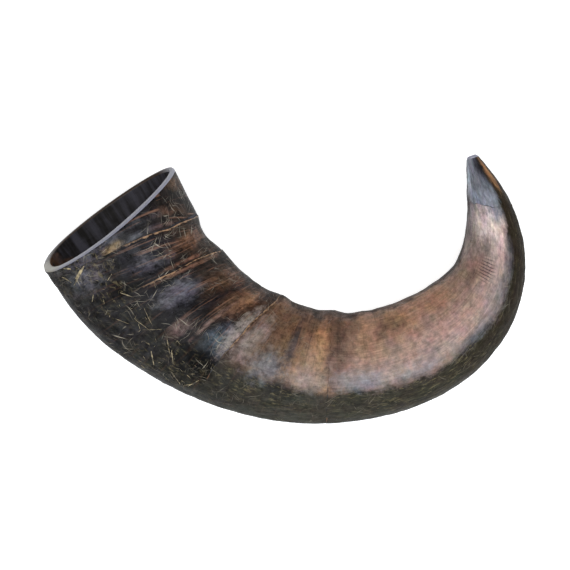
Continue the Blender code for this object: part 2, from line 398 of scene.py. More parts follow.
def horn_keratin(name, seed, scratched, fibrous, banded, patchy, polish, blots, wrinkled=0.0):
    """One sheath's keratin. seed sets its mottling and lines apart from its neighbours'. scratched,
    fibrous, banded, patchy and wrinkled are 0 to 1, wrinkled being how dark the painted shade of the
    wrinkles' folds is, polish is its roughness, and each blot is (distance from the mouth in mm, angle
    in degrees, half length along and around the horn in mm, paint colour, strength). Some blots are
    stains and some are painted sheen and painted highlights."""
    material = bpy.data.materials.new(name)
    material.use_nodes = True
    nodes, links = material.node_tree.nodes, material.node_tree.links
    shader = nodes["Principled BSDF"]
    shader.inputs["Coat Roughness"].default_value = 0.20

    where = nodes.new("NodeFrame")
    where.label = "place on the horn"
    growth = nodes.new("ShaderNodeAttribute")
    growth.label = "distance from the mouth, outwards, up"
    growth.attribute_name = "growth"
    split = nodes.new("ShaderNodeSeparateXYZ")
    split.label = "the three parts of the place"
    wander = nodes.new("ShaderNodeTexNoise")
    wander.label = "how far borders wander"
    wander.noise_dimensions = "4D"
    wander.inputs["W"].default_value = 2.0
    wander.inputs["Scale"].default_value = 95.0
    wander.inputs["Detail"].default_value = 6.0
    wander.inputs["Roughness"].default_value = 0.65
    along = nodes.new("ShaderNodeMath")
    along.label = "wandering distance along"
    along.operation = "MULTIPLY_ADD"
    along.inputs[1].default_value = 0.026
    along_share = nodes.new("ShaderNodeMapRange")
    along_share.label = "share of the length"
    along_share.inputs["From Min"].default_value = COLOUR_START
    along_share.inputs["From Max"].default_value = COLOUR_START + COLOUR_LENGTH
    outwards = nodes.new("ShaderNodeMath")
    outwards.label = "wandering outer side"
    outwards.operation = "MULTIPLY_ADD"
    outwards.inputs[1].default_value = 0.016
    links.new(growth.outputs["Vector"], split.inputs["Vector"])
    links.new(growth.outputs["Vector"], wander.inputs["Vector"])
    links.new(wander.outputs["Fac"], along.inputs[0])
    links.new(split.outputs["X"], along.inputs[2])
    links.new(along.outputs["Value"], along_share.inputs["Value"])
    links.new(wander.outputs["Fac"], outwards.inputs[0])
    links.new(split.outputs["Y"], outwards.inputs[2])

    paint = nodes.new("NodeFrame")
    paint.label = "colour by place"
    top_ramp = nodes.new("ShaderNodeValToRGB")
    top_ramp.label = "upper and lower face, mouth to tip"
    fill_ramp(top_ramp.color_ramp, TOP_TONES)
    inner_ramp = nodes.new("ShaderNodeValToRGB")
    inner_ramp.label = "inner curve, mouth to tip"
    fill_ramp(inner_ramp.color_ramp, INNER_TONES)
    outer_ramp = nodes.new("ShaderNodeValToRGB")
    outer_ramp.label = "outer curve, mouth to tip"
    fill_ramp(outer_ramp.color_ramp, OUTER_TONES)
    inner_side = nodes.new("ShaderNodeMapRange")
    inner_side.label = "on the inner curve"
    inner_side.inputs["From Min"].default_value = 0.006
    inner_side.inputs["From Max"].default_value = -0.012
    outer_side = nodes.new("ShaderNodeMapRange")
    outer_side.label = "on the outer curve"
    outer_side.inputs["From Min"].default_value = 0.0180
    outer_side.inputs["From Max"].default_value = 0.0230
    with_inner = nodes.new("ShaderNodeMix")
    with_inner.label = "inner curve over the faces"
    with_inner.data_type = "RGBA"
    with_outer = nodes.new("ShaderNodeMix")
    with_outer.label = "outer curve over both"
    with_outer.data_type = "RGBA"
    for ramp in (top_ramp, inner_ramp, outer_ramp):
        links.new(along_share.outputs["Result"], ramp.inputs["Fac"])
    links.new(outwards.outputs["Value"], inner_side.inputs["Value"])
    links.new(outwards.outputs["Value"], outer_side.inputs["Value"])
    links.new(inner_side.outputs["Result"], with_inner.inputs["Factor"])
    links.new(top_ramp.outputs["Color"], with_inner.inputs["A"])
    links.new(inner_ramp.outputs["Color"], with_inner.inputs["B"])
    links.new(outer_side.outputs["Result"], with_outer.inputs["Factor"])
    links.new(with_inner.outputs["Result"], with_outer.inputs["A"])
    links.new(outer_ramp.outputs["Color"], with_outer.inputs["B"])

    # Blots: stains, and also painted sheen and painted highlights, as the lists of blots mark them.
    blot_group = nodes.new("NodeFrame")
    blot_group.label = "single blots, painted sheens and highlights"
    frayed = nodes.new("ShaderNodeTexNoise")
    frayed.label = "frayed borders of the blots"
    frayed.inputs["Scale"].default_value = 260.0
    frayed.inputs["Detail"].default_value = 8.0
    frayed.inputs["Roughness"].default_value = 0.72
    links.new(growth.outputs["Vector"], frayed.inputs["Vector"])
    blot_nodes = [frayed]
    painted = with_outer.outputs["Result"]
    for run, degrees, half_along, half_around, paint_colour, strength in blots:
        angle = radians(degrees)
        radius = hypot(*outline(run, angle)) * MM
        spread = half_around * MM * GROWTH_RADIUS / radius
        fit = nodes.new("ShaderNodeMapping")
        fit.label = "place and size of a blot"
        fit.vector_type = "TEXTURE"
        fit.inputs["Location"].default_value = growth_place(run, angle)
        fit.inputs["Scale"].default_value = (half_along * MM, spread, spread)
        away = nodes.new("ShaderNodeVectorMath")
        away.label = "distance from its middle"
        away.operation = "LENGTH"
        fray = nodes.new("ShaderNodeMath")
        fray.label = "frayed distance"
        fray.operation = "MULTIPLY_ADD"
        fray.inputs[1].default_value = 2.2
        inside = nodes.new("ShaderNodeMapRange")
        inside.label = "inside the blot"
        inside.inputs["From Min"].default_value = 2.45
        inside.inputs["From Max"].default_value = 1.45
        inside.inputs["To Max"].default_value = strength
        blot = nodes.new("ShaderNodeMix")
        blot.label = "blot over the colour"
        blot.data_type = "RGBA"
        blot.inputs["B"].default_value = tone(*paint_colour)
        links.new(growth.outputs["Vector"], fit.inputs["Vector"])
        links.new(fit.outputs["Vector"], away.inputs[0])
        links.new(frayed.outputs["Fac"], fray.inputs[0])
        links.new(away.outputs["Value"], fray.inputs[2])
        links.new(fray.outputs["Value"], inside.inputs["Value"])
        links.new(inside.outputs["Result"], blot.inputs["Factor"])
        links.new(painted, blot.inputs["A"])
        painted = blot.outputs["Result"]
        blot_nodes += [fit, away, fray, inside, blot]

    blotches = nodes.new("NodeFrame")
    blotches.label = "blotches and mottling"
    mottle = nodes.new("ShaderNodeTexNoise")
    mottle.label = "mottling a few millimetres across"
    mottle.noise_dimensions = "4D"
    mottle.inputs["W"].default_value = seed
    mottle.inputs["Scale"].default_value = 330.0
    mottle.inputs["Detail"].default_value = 8.0
    mottle.inputs["Roughness"].default_value = 0.7
    mottle_gain = nodes.new("ShaderNodeMapRange")
    mottle_gain.label = "mottling as light and dark"
    mottle_gain.inputs["From Min"].default_value = 0.36
    mottle_gain.inputs["From Max"].default_value = 0.68
    mottle_gain.inputs["To Min"].default_value = 1.0 - patchy
    mottle_gain.inputs["To Max"].default_value = 1.0 + 1.6 * patchy
    mottled = nodes.new("ShaderNodeMix")
    mottled.label = "mottled colour"
    mottled.data_type = "RGBA"
    mottled.blend_type = "MULTIPLY"
    mottled.inputs["Factor"].default_value = 1.0
    tint = nodes.new("ShaderNodeTexNoise")
    tint.label = "slow change of hue"
    tint.noise_dimensions = "4D"
    tint.inputs["W"].default_value = 9.1
    tint.inputs["Scale"].default_value = 150.0
    tint.inputs["Detail"].default_value = 6.0
    tinted = nodes.new("ShaderNodeMix")
    tinted.label = "tinted colour"
    tinted.data_type = "RGBA"
    tinted.blend_type = "OVERLAY"
    tinted.inputs["Factor"].default_value = 0.22
    links.new(growth.outputs["Vector"], tint.inputs["Vector"])
    links.new(mottled.outputs["Result"], tinted.inputs["A"])
    links.new(tint.outputs["Color"], tinted.inputs["B"])
    cloud = nodes.new("ShaderNodeTexNoise")
    cloud.label = "large dark clouds"
    cloud.noise_dimensions = "4D"
    cloud.inputs["W"].default_value = 7.3
    cloud.inputs["Scale"].default_value = 62.0
    cloud.inputs["Detail"].default_value = 5.0
    cloud_mask = nodes.new("ShaderNodeMapRange")
    cloud_mask.label = "where the clouds lie"
    cloud_mask.inputs["From Min"].default_value = 0.54
    cloud_mask.inputs["From Max"].default_value = 0.68
    cloud_mask.inputs["To Max"].default_value = 0.62
    clouded = nodes.new("ShaderNodeMix")
    clouded.label = "clouded colour"
    clouded.data_type = "RGBA"
    clouded.inputs["B"].default_value = tone(22, 19, 20)
    links.new(growth.outputs["Vector"], mottle.inputs["Vector"])
    links.new(mottle.outputs["Fac"], mottle_gain.inputs["Value"])
    links.new(painted, mottled.inputs["A"])
    links.new(mottle_gain.outputs["Result"], mottled.inputs["B"])
    links.new(growth.outputs["Vector"], cloud.inputs["Vector"])
    links.new(cloud.outputs["Fac"], cloud_mask.inputs["Value"])
    links.new(cloud_mask.outputs["Result"], clouded.inputs["Factor"])
    links.new(tinted.outputs["Result"], clouded.inputs["A"])

    lines = nodes.new("NodeFrame")
    lines.label = "growth lines across the horn"
    line_grid = nodes.new("ShaderNodeMapping")
    line_grid.label = "squeezed along, so lines run across"
    line_grid.inputs["Scale"].default_value = (760.0, 48.0, 48.0)
    line_noise = nodes.new("ShaderNodeTexNoise")
    line_noise.label = "fine lines"
    line_noise.noise_dimensions = "4D"
    line_noise.inputs["W"].default_value = seed
    line_noise.inputs["Scale"].default_value = 1.0
    line_noise.inputs["Detail"].default_value = 6.0
    line_noise.inputs["Distortion"].default_value = 0.35
    line_mask = nodes.new("ShaderNodeMapRange")
    line_mask.label = "the sharpest lines only"
    line_mask.inputs["From Min"].default_value = 0.57
    line_mask.inputs["From Max"].default_value = 0.66
    line_mask.inputs["To Max"].default_value = banded
    lined = nodes.new("ShaderNodeMix")
    lined.label = "pale rusty lines"
    lined.data_type = "RGBA"
    lined.inputs["B"].default_value = tone(122, 86, 66)
    links.new(growth.outputs["Vector"], line_grid.inputs["Vector"])
    links.new(line_grid.outputs["Vector"], line_noise.inputs["Vector"])
    links.new(line_noise.outputs["Fac"], line_mask.inputs["Value"])
    inner_half = nodes.new("ShaderNodeMapRange")
    inner_half.label = "the inner half of the horn"
    inner_half.inputs["From Min"].default_value = 0.020
    inner_half.inputs["From Max"].default_value = -0.006
    inner_half.inputs["To Min"].default_value = 0.12
    line_strength = nodes.new("ShaderNodeMath")
    line_strength.label = "lines of the inner half"
    line_strength.operation = "MULTIPLY"
    dark_lines = nodes.new("ShaderNodeMapRange")
    dark_lines.label = "grooves between the lines"
    dark_lines.inputs["From Min"].default_value = 0.44
    dark_lines.inputs["From Max"].default_value = 0.34
    dark_lines.inputs["To Max"].default_value = 0.9 * banded
    dark_strength = nodes.new("ShaderNodeMath")
    dark_strength.label = "grooves of the inner half"
    dark_strength.operation = "MULTIPLY"
    grooved = nodes.new("ShaderNodeMix")
    grooved.label = "dark grooves"
    grooved.data_type = "RGBA"
    grooved.inputs["B"].default_value = tone(22, 17, 15)
    links.new(outwards.outputs["Value"], inner_half.inputs["Value"])
    links.new(line_mask.outputs["Result"], line_strength.inputs[0])
    links.new(inner_half.outputs["Result"], line_strength.inputs[1])
    links.new(line_strength.outputs["Value"], lined.inputs["Factor"])
    links.new(line_noise.outputs["Fac"], dark_lines.inputs["Value"])
    links.new(dark_lines.outputs["Result"], dark_strength.inputs[0])
    links.new(inner_half.outputs["Result"], dark_strength.inputs[1])
    links.new(dark_strength.outputs["Value"], grooved.inputs["Factor"])
    links.new(clouded.outputs["Result"], grooved.inputs["A"])
    links.new(grooved.outputs["Result"], lined.inputs["A"])

    edges = nodes.new("NodeFrame")
    edges.label = "edges of the sheaths"
    edge_place = nodes.new("ShaderNodeAttribute")
    edge_place.label = "distance from either edge, paleness"
    edge_place.attribute_name = "edges"
    edge_split = nodes.new("ShaderNodeSeparateXYZ")
    edge_split.label = "mouth edge, tip edge, paleness"
    edge_noise = nodes.new("ShaderNodeTexNoise")
    edge_noise.label = "uneven scraping of the edge"
    edge_noise.inputs["Scale"].default_value = 520.0
    edge_noise.inputs["Detail"].default_value = 5.0
    pale_reach = nodes.new("ShaderNodeMath")
    pale_reach.label = "uneven distance from the edge"
    pale_reach.operation = "MULTIPLY_ADD"
    pale_reach.inputs[1].default_value = 0.0032
    pale_mask = nodes.new("ShaderNodeMapRange")
    pale_mask.label = "the scraped edge"
    pale_mask.inputs["From Min"].default_value = 0.0024
    pale_mask.inputs["From Max"].default_value = 0.0016
    pale_strength = nodes.new("ShaderNodeMath")
    pale_strength.label = "scraped where it is pale"
    pale_strength.operation = "MULTIPLY"
    pale = nodes.new("ShaderNodeMix")
    pale.label = "pale edge"
    pale.data_type = "RGBA"
    pale.inputs["B"].default_value = tone(152, 118, 88)
    # Painted shade: a dark band just below the overhanging edge of the next older sheath.
    lip_shade_mask = nodes.new("ShaderNodeMapRange")
    lip_shade_mask.label = "just below the next edge"
    lip_shade_mask.inputs["From Min"].default_value = 0.0013
    lip_shade_mask.inputs["From Max"].default_value = 0.0
    lip_shade_mask.inputs["To Max"].default_value = 0.85
    lip_shade = nodes.new("ShaderNodeMix")
    lip_shade.label = "painted shade below the next edge"
    lip_shade.data_type = "RGBA"
    lip_shade.inputs["B"].default_value = tone(26, 22, 22)
    links.new(edge_place.outputs["Vector"], edge_split.inputs["Vector"])
    links.new(growth.outputs["Vector"], edge_noise.inputs["Vector"])
    links.new(edge_noise.outputs["Fac"], pale_reach.inputs[0])
    links.new(edge_split.outputs["X"], pale_reach.inputs[2])
    links.new(pale_reach.outputs["Value"], pale_mask.inputs["Value"])
    links.new(pale_mask.outputs["Result"], pale_strength.inputs[0])
    links.new(edge_split.outputs["Z"], pale_strength.inputs[1])
    links.new(edge_split.outputs["Y"], lip_shade_mask.inputs["Value"])
    links.new(lip_shade_mask.outputs["Result"], lip_shade.inputs["Factor"])
    links.new(lined.outputs["Result"], lip_shade.inputs["A"])
    links.new(pale_strength.outputs["Value"], pale.inputs["Factor"])
    links.new(lip_shade.outputs["Result"], pale.inputs["A"])

    fibres = nodes.new("NodeFrame")
    fibres.label = "fibres along the horn"
    fibre_grid = nodes.new("ShaderNodeMapping")
    fibre_grid.label = "squeezed around, so fibres run along"
    fibre_grid.inputs["Scale"].default_value = (55.0, 1100.0, 1100.0)
    fibre_noise = nodes.new("ShaderNodeTexNoise")
    fibre_noise.label = "fine fibres"
    fibre_noise.inputs["Scale"].default_value = 1.0
    fibre_noise.inputs["Detail"].default_value = 5.0
    fibre_noise.inputs["Roughness"].default_value = 0.6
    fibre_gain = nodes.new("ShaderNodeMapRange")
    fibre_gain.label = "fibres as light and dark"
    fibre_gain.inputs["From Min"].default_value = 0.3
    fibre_gain.inputs["From Max"].default_value = 0.7
    fibre_gain.inputs["To Min"].default_value = 1.0 - 0.35 * fibrous
    fibre_gain.inputs["To Max"].default_value = 1.0 + 0.35 * fibrous
    fibred = nodes.new("ShaderNodeMix")
    fibred.label = "fibrous colour"
    fibred.data_type = "RGBA"
    fibred.blend_type = "MULTIPLY"
    fibred.inputs["Factor"].default_value = 1.0
    links.new(growth.outputs["Vector"], fibre_grid.inputs["Vector"])
    links.new(fibre_grid.outputs["Vector"], fibre_noise.inputs["Vector"])
    links.new(fibre_noise.outputs["Fac"], fibre_gain.inputs["Value"])
    links.new(pale.outputs["Result"], fibred.inputs["A"])
    links.new(fibre_gain.outputs["Result"], fibred.inputs["B"])

    extremes = nodes.new("NodeFrame")
    extremes.label = "flecks outside, painted shade on the inner curve and in the wrinkles of the bend"
    fleck_grid = nodes.new("ShaderNodeMapping")
    fleck_grid.label = "flecks lie along the horn"
    fleck_grid.inputs["Scale"].default_value = (300.0, 820.0, 820.0)
    fleck_noise = nodes.new("ShaderNodeTexNoise")
    fleck_noise.label = "dry flecks"
    fleck_noise.inputs["Scale"].default_value = 1.0
    fleck_noise.inputs["Detail"].default_value = 8.0
    fleck_noise.inputs["Roughness"].default_value = 0.68
    fleck_noise.inputs["Distortion"].default_value = 0.6
    fleck_mask = nodes.new("ShaderNodeMapRange")
    fleck_mask.label = "only the driest"
    fleck_mask.inputs["From Min"].default_value = 0.53
    fleck_mask.inputs["From Max"].default_value = 0.66
    fleck_mask.inputs["To Max"].default_value = 0.6
    fleck_side = nodes.new("ShaderNodeMath")
    fleck_side.label = "flecks of the outer side"
    fleck_side.operation = "MULTIPLY"
    flecked = nodes.new("ShaderNodeMix")
    flecked.label = "olive flecks"
    flecked.data_type = "RGBA"
    flecked.inputs["B"].default_value = tone(108, 98, 70)
    # Painted shade: a dark band along the innermost curve.
    inner_shade_mask = nodes.new("ShaderNodeMapRange")
    inner_shade_mask.label = "the innermost curve"
    inner_shade_mask.inputs["From Min"].default_value = -0.0178
    inner_shade_mask.inputs["From Max"].default_value = -0.0212
    inner_shade_mask.inputs["To Max"].default_value = 0.78
    painted_inner_shade = nodes.new("ShaderNodeMix")
    painted_inner_shade.label = "painted shade on the innermost curve"
    painted_inner_shade.data_type = "RGBA"
    painted_inner_shade.inputs["B"].default_value = tone(26, 18, 14)
    # Painted shade: the wrinkles have no relief; dark lines across the bend stand for the shade in their
    # folds.
    wave = nodes.new("ShaderNodeTexWave")
    wave.label = "wrinkles across the bend"
    wave.bands_direction = "X"
    wave.inputs["Scale"].default_value = 190.0
    wave.inputs["Distortion"].default_value = 2.5
    wave.inputs["Detail"].default_value = 3.0
    wrinkle_fit = nodes.new("ShaderNodeMapping")
    wrinkle_fit.label = "place of the wrinkles"
    wrinkle_fit.vector_type = "TEXTURE"
    wrinkle_fit.inputs["Location"].default_value = growth_place(*WRINKLE_PLACE)
    wrinkle_fit.inputs["Scale"].default_value = (0.0085, 0.009, 0.009)
    wrinkle_away = nodes.new("ShaderNodeVectorMath")
    wrinkle_away.label = "distance from their middle"
    wrinkle_away.operation = "LENGTH"
    wrinkle_mask = nodes.new("ShaderNodeMapRange")
    wrinkle_mask.label = "where the wrinkles are"
    wrinkle_mask.inputs["From Min"].default_value = 1.0
    wrinkle_mask.inputs["From Max"].default_value = 0.5
    wrinkle_mask.inputs["To Max"].default_value = wrinkled
    wrinkle_lines = nodes.new("ShaderNodeMapRange")
    wrinkle_lines.label = "narrow dark folds"
    wrinkle_lines.inputs["From Min"].default_value = 0.62
    wrinkle_lines.inputs["From Max"].default_value = 0.9
    folds = nodes.new("ShaderNodeMath")
    folds.label = "folds in their place"
    folds.operation = "MULTIPLY"
    # The painted shade of the folds.
    painted_fold_shade = nodes.new("ShaderNodeMix")
    painted_fold_shade.label = "dark folds"
    painted_fold_shade.data_type = "RGBA"
    painted_fold_shade.inputs["B"].default_value = tone(52, 40, 46)
    links.new(growth.outputs["Vector"], fleck_grid.inputs["Vector"])
    links.new(fleck_grid.outputs["Vector"], fleck_noise.inputs["Vector"])
    links.new(fleck_noise.outputs["Fac"], fleck_mask.inputs["Value"])
    fleck_zone = nodes.new("ShaderNodeMapRange")
    fleck_zone.label = "flecks gather in patches"
    fleck_zone.inputs["From Min"].default_value = 0.40
    fleck_zone.inputs["From Max"].default_value = 0.58
    fleck_zone.inputs["To Min"].default_value = 0.25
    fleck_patch = nodes.new("ShaderNodeMath")
    fleck_patch.label = "flecks in patches"
    fleck_patch.operation = "MULTIPLY"
    links.new(cloud.outputs["Fac"], fleck_zone.inputs["Value"])
    links.new(fleck_mask.outputs["Result"], fleck_patch.inputs[0])
    links.new(fleck_zone.outputs["Result"], fleck_patch.inputs[1])
    links.new(fleck_patch.outputs["Value"], fleck_side.inputs[0])
    links.new(outer_side.outputs["Result"], fleck_side.inputs[1])
    links.new(fleck_side.outputs["Value"], flecked.inputs["Factor"])
    links.new(fibred.outputs["Result"], flecked.inputs["A"])
    links.new(outwards.outputs["Value"], inner_shade_mask.inputs["Value"])
    links.new(inner_shade_mask.outputs["Result"], painted_inner_shade.inputs["Factor"])
    links.new(flecked.outputs["Result"], painted_inner_shade.inputs["A"])
    links.new(growth.outputs["Vector"], wave.inputs["Vector"])
    links.new(growth.outputs["Vector"], wrinkle_fit.inputs["Vector"])
    links.new(wrinkle_fit.outputs["Vector"], wrinkle_away.inputs[0])
    links.new(wrinkle_away.outputs["Value"], wrinkle_mask.inputs["Value"])
    links.new(wave.outputs["Fac"], wrinkle_lines.inputs["Value"])
    links.new(wrinkle_lines.outputs["Result"], folds.inputs[0])
    links.new(wrinkle_mask.outputs["Result"], folds.inputs[1])
    links.new(folds.outputs["Value"], painted_fold_shade.inputs["Factor"])
    links.new(painted_inner_shade.outputs["Result"], painted_fold_shade.inputs["A"])

    scraping = nodes.new("NodeFrame")
    scraping.label = "scratches"
    unrolled = nodes.new("ShaderNodeUVMap")
    unrolled.label = "the surface laid out flat"
    unrolled.uv_map = "unrolled"
    rough_zone = nodes.new("ShaderNodeTexNoise")
    rough_zone.label = "where the scratches gather"
    rough_zone.noise_dimensions = "4D"
    rough_zone.inputs["W"].default_value = 4.4
    rough_zone.inputs["Scale"].default_value = 75.0
    rough_zone.inputs["Detail"].default_value = 3.0
    zone_mask = nodes.new("ShaderNodeMapRange")
    zone_mask.label = "scratched zones"
    zone_mask.inputs["From Min"].default_value = 0.46
    zone_mask.inputs["From Max"].default_value = 0.60
    zone_mask.inputs["To Max"].default_value = scratched
    links.new(growth.outputs["Vector"], rough_zone.inputs["Vector"])
    links.new(rough_zone.outputs["Fac"], zone_mask.inputs["Value"])
    sway = nodes.new("ShaderNodeTexNoise")
    sway.label = "how scratches curve"
    sway.inputs["Scale"].default_value = 62.0
    sway.inputs["Detail"].default_value = 1.0
    swayed = nodes.new("ShaderNodeVectorMath")
    swayed.label = "surface laid out, gently warped"
    swayed.operation = "MULTIPLY_ADD"
    swayed.inputs[1].default_value = (0.012, 0.012, 0.0)
    links.new(unrolled.outputs["UV"], sway.inputs["Vector"])
    links.new(sway.outputs["Color"], swayed.inputs[0])
    links.new(unrolled.outputs["UV"], swayed.inputs[2])
    total = None
    scratch_nodes = [sway, swayed]
    for heading, length_scale in ((0.45, 70.0), (0.95, 90.0), (-0.35, 80.0), (1.75, 120.0)):
        turn = nodes.new("ShaderNodeMapping")
        turn.label = "scratch direction"
        turn.vector_type = "TEXTURE"
        turn.inputs["Rotation"].default_value = (0.0, 0.0, heading)
        stretch = nodes.new("ShaderNodeMapping")
        stretch.label = "scratch length and width"
        stretch.inputs["Scale"].default_value = (length_scale, 1500.0, 1.0)
        mark = nodes.new("ShaderNodeTexNoise")
        mark.label = "scratch marks"
        mark.inputs["Scale"].default_value = 1.0
        mark.inputs["Detail"].default_value = 1.0
        thin = nodes.new("ShaderNodeMapRange")
        thin.label = "only the deepest"
        thin.inputs["From Min"].default_value = 0.665
        thin.inputs["From Max"].default_value = 0.75
        links.new(swayed.outputs["Vector"], turn.inputs["Vector"])
        links.new(turn.outputs["Vector"], stretch.inputs["Vector"])
        links.new(stretch.outputs["Vector"], mark.inputs["Vector"])
        links.new(mark.outputs["Fac"], thin.inputs["Value"])
        scratch_nodes += [turn, stretch, mark, thin]
        if total is None:
            total = thin.outputs["Result"]
            continue
        both = nodes.new("ShaderNodeMath")
        both.label = "scratches of all directions"
        both.operation = "MAXIMUM"
        links.new(total, both.inputs[0])
        links.new(thin.outputs["Result"], both.inputs[1])
        total = both.outputs["Value"]
        scratch_nodes.append(both)
    marks = nodes.new("ShaderNodeMath")
    marks.label = "scratches inside their zones"
    marks.operation = "MULTIPLY"
    links.new(total, marks.inputs[0])
    links.new(zone_mask.outputs["Result"], marks.inputs[1])
    scratched_colour = nodes.new("ShaderNodeMix")
    scratched_colour.label = "pale dry scratches"
    scratched_colour.data_type = "RGBA"
    scratched_colour.inputs["B"].default_value = tone(146, 138, 122)
    links.new(marks.outputs["Value"], scratched_colour.inputs["Factor"])
    links.new(painted_fold_shade.outputs["Result"], scratched_colour.inputs["A"])
    links.new(scratched_colour.outputs["Result"], shader.inputs["Base Color"])

    gloss = nodes.new("NodeFrame")
    gloss.label = "polish and wear"
    worn = nodes.new("ShaderNodeMapRange")
    worn.label = "dull and shiny patches"
    worn.inputs["From Min"].default_value = 0.35
    worn.inputs["From Max"].default_value = 0.65
    worn.inputs["To Min"].default_value = polish - 0.10
    worn.inputs["To Max"].default_value = polish + 0.20
    dull_outer = nodes.new("ShaderNodeMath")
    dull_outer.label = "the outer side is dull"
    dull_outer.operation = "MULTIPLY_ADD"
    dull_outer.inputs[1].default_value = 0.16
    roughness = nodes.new("ShaderNodeMath")
    roughness.label = "scratches are dull"
    roughness.operation = "MULTIPLY_ADD"
    roughness.inputs[1].default_value = 0.3
    roughness.use_clamp = True
    links.new(rough_zone.outputs["Fac"], worn.inputs["Value"])
    links.new(outer_side.outputs["Result"], dull_outer.inputs[0])
    links.new(worn.outputs["Result"], dull_outer.inputs[2])
    links.new(marks.outputs["Value"], roughness.inputs[0])
    links.new(dull_outer.outputs["Value"], roughness.inputs[2])
    links.new(roughness.outputs["Value"], shader.inputs["Roughness"])

    coat = nodes.new("ShaderNodeMapRange")
    coat.label = "oil shine, less on the outer side"
    coat.inputs["To Min"].default_value = 0.24
    coat.inputs["To Max"].default_value = 0.0
    mirror = nodes.new("ShaderNodeMapRange")
    mirror.label = "reflection, less on the outer side"
    mirror.inputs["To Min"].default_value = 0.34
    mirror.inputs["To Max"].default_value = 0.12
    links.new(outer_side.outputs["Result"], coat.inputs["Value"])
    links.new(outer_side.outputs["Result"], mirror.inputs["Value"])
    under = nodes.new("ShaderNodeMath")
    under.label = "less on the innermost curve too"
    under.operation = "MULTIPLY_ADD"
    under.inputs[1].default_value = -0.26
    under.use_clamp = True
    links.new(inner_shade_mask.outputs["Result"], under.inputs[0])
    links.new(mirror.outputs["Result"], under.inputs[2])
    brightness = nodes.new("ShaderNodeRGBToBW")
    brightness.label = "how pale the keratin is here"
    density = nodes.new("ShaderNodeMapRange")
    density.label = "pale keratin is denser and shines more"
    density.inputs["From Min"].default_value = 0.008
    density.inputs["From Max"].default_value = 0.09
    density.inputs["To Min"].default_value = 0.30
    density.inputs["To Max"].default_value = 1.05
    coat_here = nodes.new("ShaderNodeMath")
    coat_here.label = "oil shine here"
    coat_here.operation = "MULTIPLY"
    mirror_here = nodes.new("ShaderNodeMath")
    mirror_here.label = "reflection here"
    mirror_here.operation = "MULTIPLY"
    links.new(scratched_colour.outputs["Result"], brightness.inputs["Color"])
    links.new(brightness.outputs["Val"], density.inputs["Value"])
    links.new(coat.outputs["Result"], coat_here.inputs[0])
    links.new(density.outputs["Result"], coat_here.inputs[1])
    links.new(under.outputs["Value"], mirror_here.inputs[0])
    links.new(density.outputs["Result"], mirror_here.inputs[1])
    links.new(coat_here.outputs["Value"], shader.inputs["Coat Weight"])
    links.new(mirror_here.outputs["Value"], shader.inputs["Specular IOR Level"])

    relief = nodes.new("NodeFrame")
    relief.label = "relief"
    line_bump = nodes.new("ShaderNodeBump")
    line_bump.label = "growth line ridges"
    line_bump.inputs["Strength"].default_value = 0.55 * banded
    line_bump.inputs["Distance"].default_value = 0.0006
    fibre_bump = nodes.new("ShaderNodeBump")
    fibre_bump.label = "fibre grooves"
    fibre_bump.inputs["Strength"].default_value = 0.35 * fibrous
    fibre_bump.inputs["Distance"].default_value = 0.0004
    pit_bump = nodes.new("ShaderNodeBump")
    pit_bump.label = "pits and unevenness"
    pit_bump.inputs["Strength"].default_value = 0.35
    pit_bump.inputs["Distance"].default_value = 0.0010
    scratch_bump = nodes.new("ShaderNodeBump")
    scratch_bump.label = "scratch grooves"
    scratch_bump.invert = True
    scratch_bump.inputs["Strength"].default_value = 0.6
    scratch_bump.inputs["Distance"].default_value = 0.0003
    links.new(line_noise.outputs["Fac"], line_bump.inputs["Height"])
    links.new(fibre_noise.outputs["Fac"], fibre_bump.inputs["Height"])
    links.new(mottle.outputs["Fac"], pit_bump.inputs["Height"])
    links.new(marks.outputs["Value"], scratch_bump.inputs["Height"])
    links.new(line_bump.outputs["Normal"], fibre_bump.inputs["Normal"])
    links.new(fibre_bump.outputs["Normal"], pit_bump.inputs["Normal"])
    links.new(pit_bump.outputs["Normal"], scratch_bump.inputs["Normal"])
    links.new(scratch_bump.outputs["Normal"], shader.inputs["Normal"])

    lay_out((
        (where, (growth, split, wander, along, along_share, outwards)),
        (paint, (top_ramp, inner_ramp, outer_ramp, inner_side, outer_side, with_inner, with_outer)),
        (blot_group, blot_nodes),
        (blotches, (mottle, mottle_gain, mottled, tint, tinted, cloud, cloud_mask, clouded)),
        (lines, (line_grid, line_noise, line_mask, inner_half, line_strength, lined)),
        (lines, (dark_lines, dark_strength, grooved)),
        (edges, (edge_place, edge_split, edge_noise, pale_reach, pale_mask, pale_strength, pale)),
        (edges, (lip_shade_mask, lip_shade)),
        (fibres, (fibre_grid, fibre_noise, fibre_gain, fibred)),
        (extremes, (fleck_grid, fleck_noise, fleck_mask, fleck_zone, fleck_patch, fleck_side, flecked)),
        (extremes, (inner_shade_mask, painted_inner_shade, wave)),
        (extremes, (wrinkle_fit, wrinkle_away, wrinkle_mask, wrinkle_lines, folds, painted_fold_shade)),
        (scraping, (unrolled, rough_zone, zone_mask, *scratch_nodes, marks, scratched_colour)),
        (gloss, (worn, dull_outer, roughness, coat, mirror, under)),
        (gloss, (brightness, density, coat_here, mirror_here)),
        (relief, (line_bump, fibre_bump, pit_bump, scratch_bump)),
    ))
    return material


LINING_DARK = tone(22, 20, 20)
LINING_GREY = tone(66, 65, 74)
LINING_BROWN = tone(112, 76, 48)


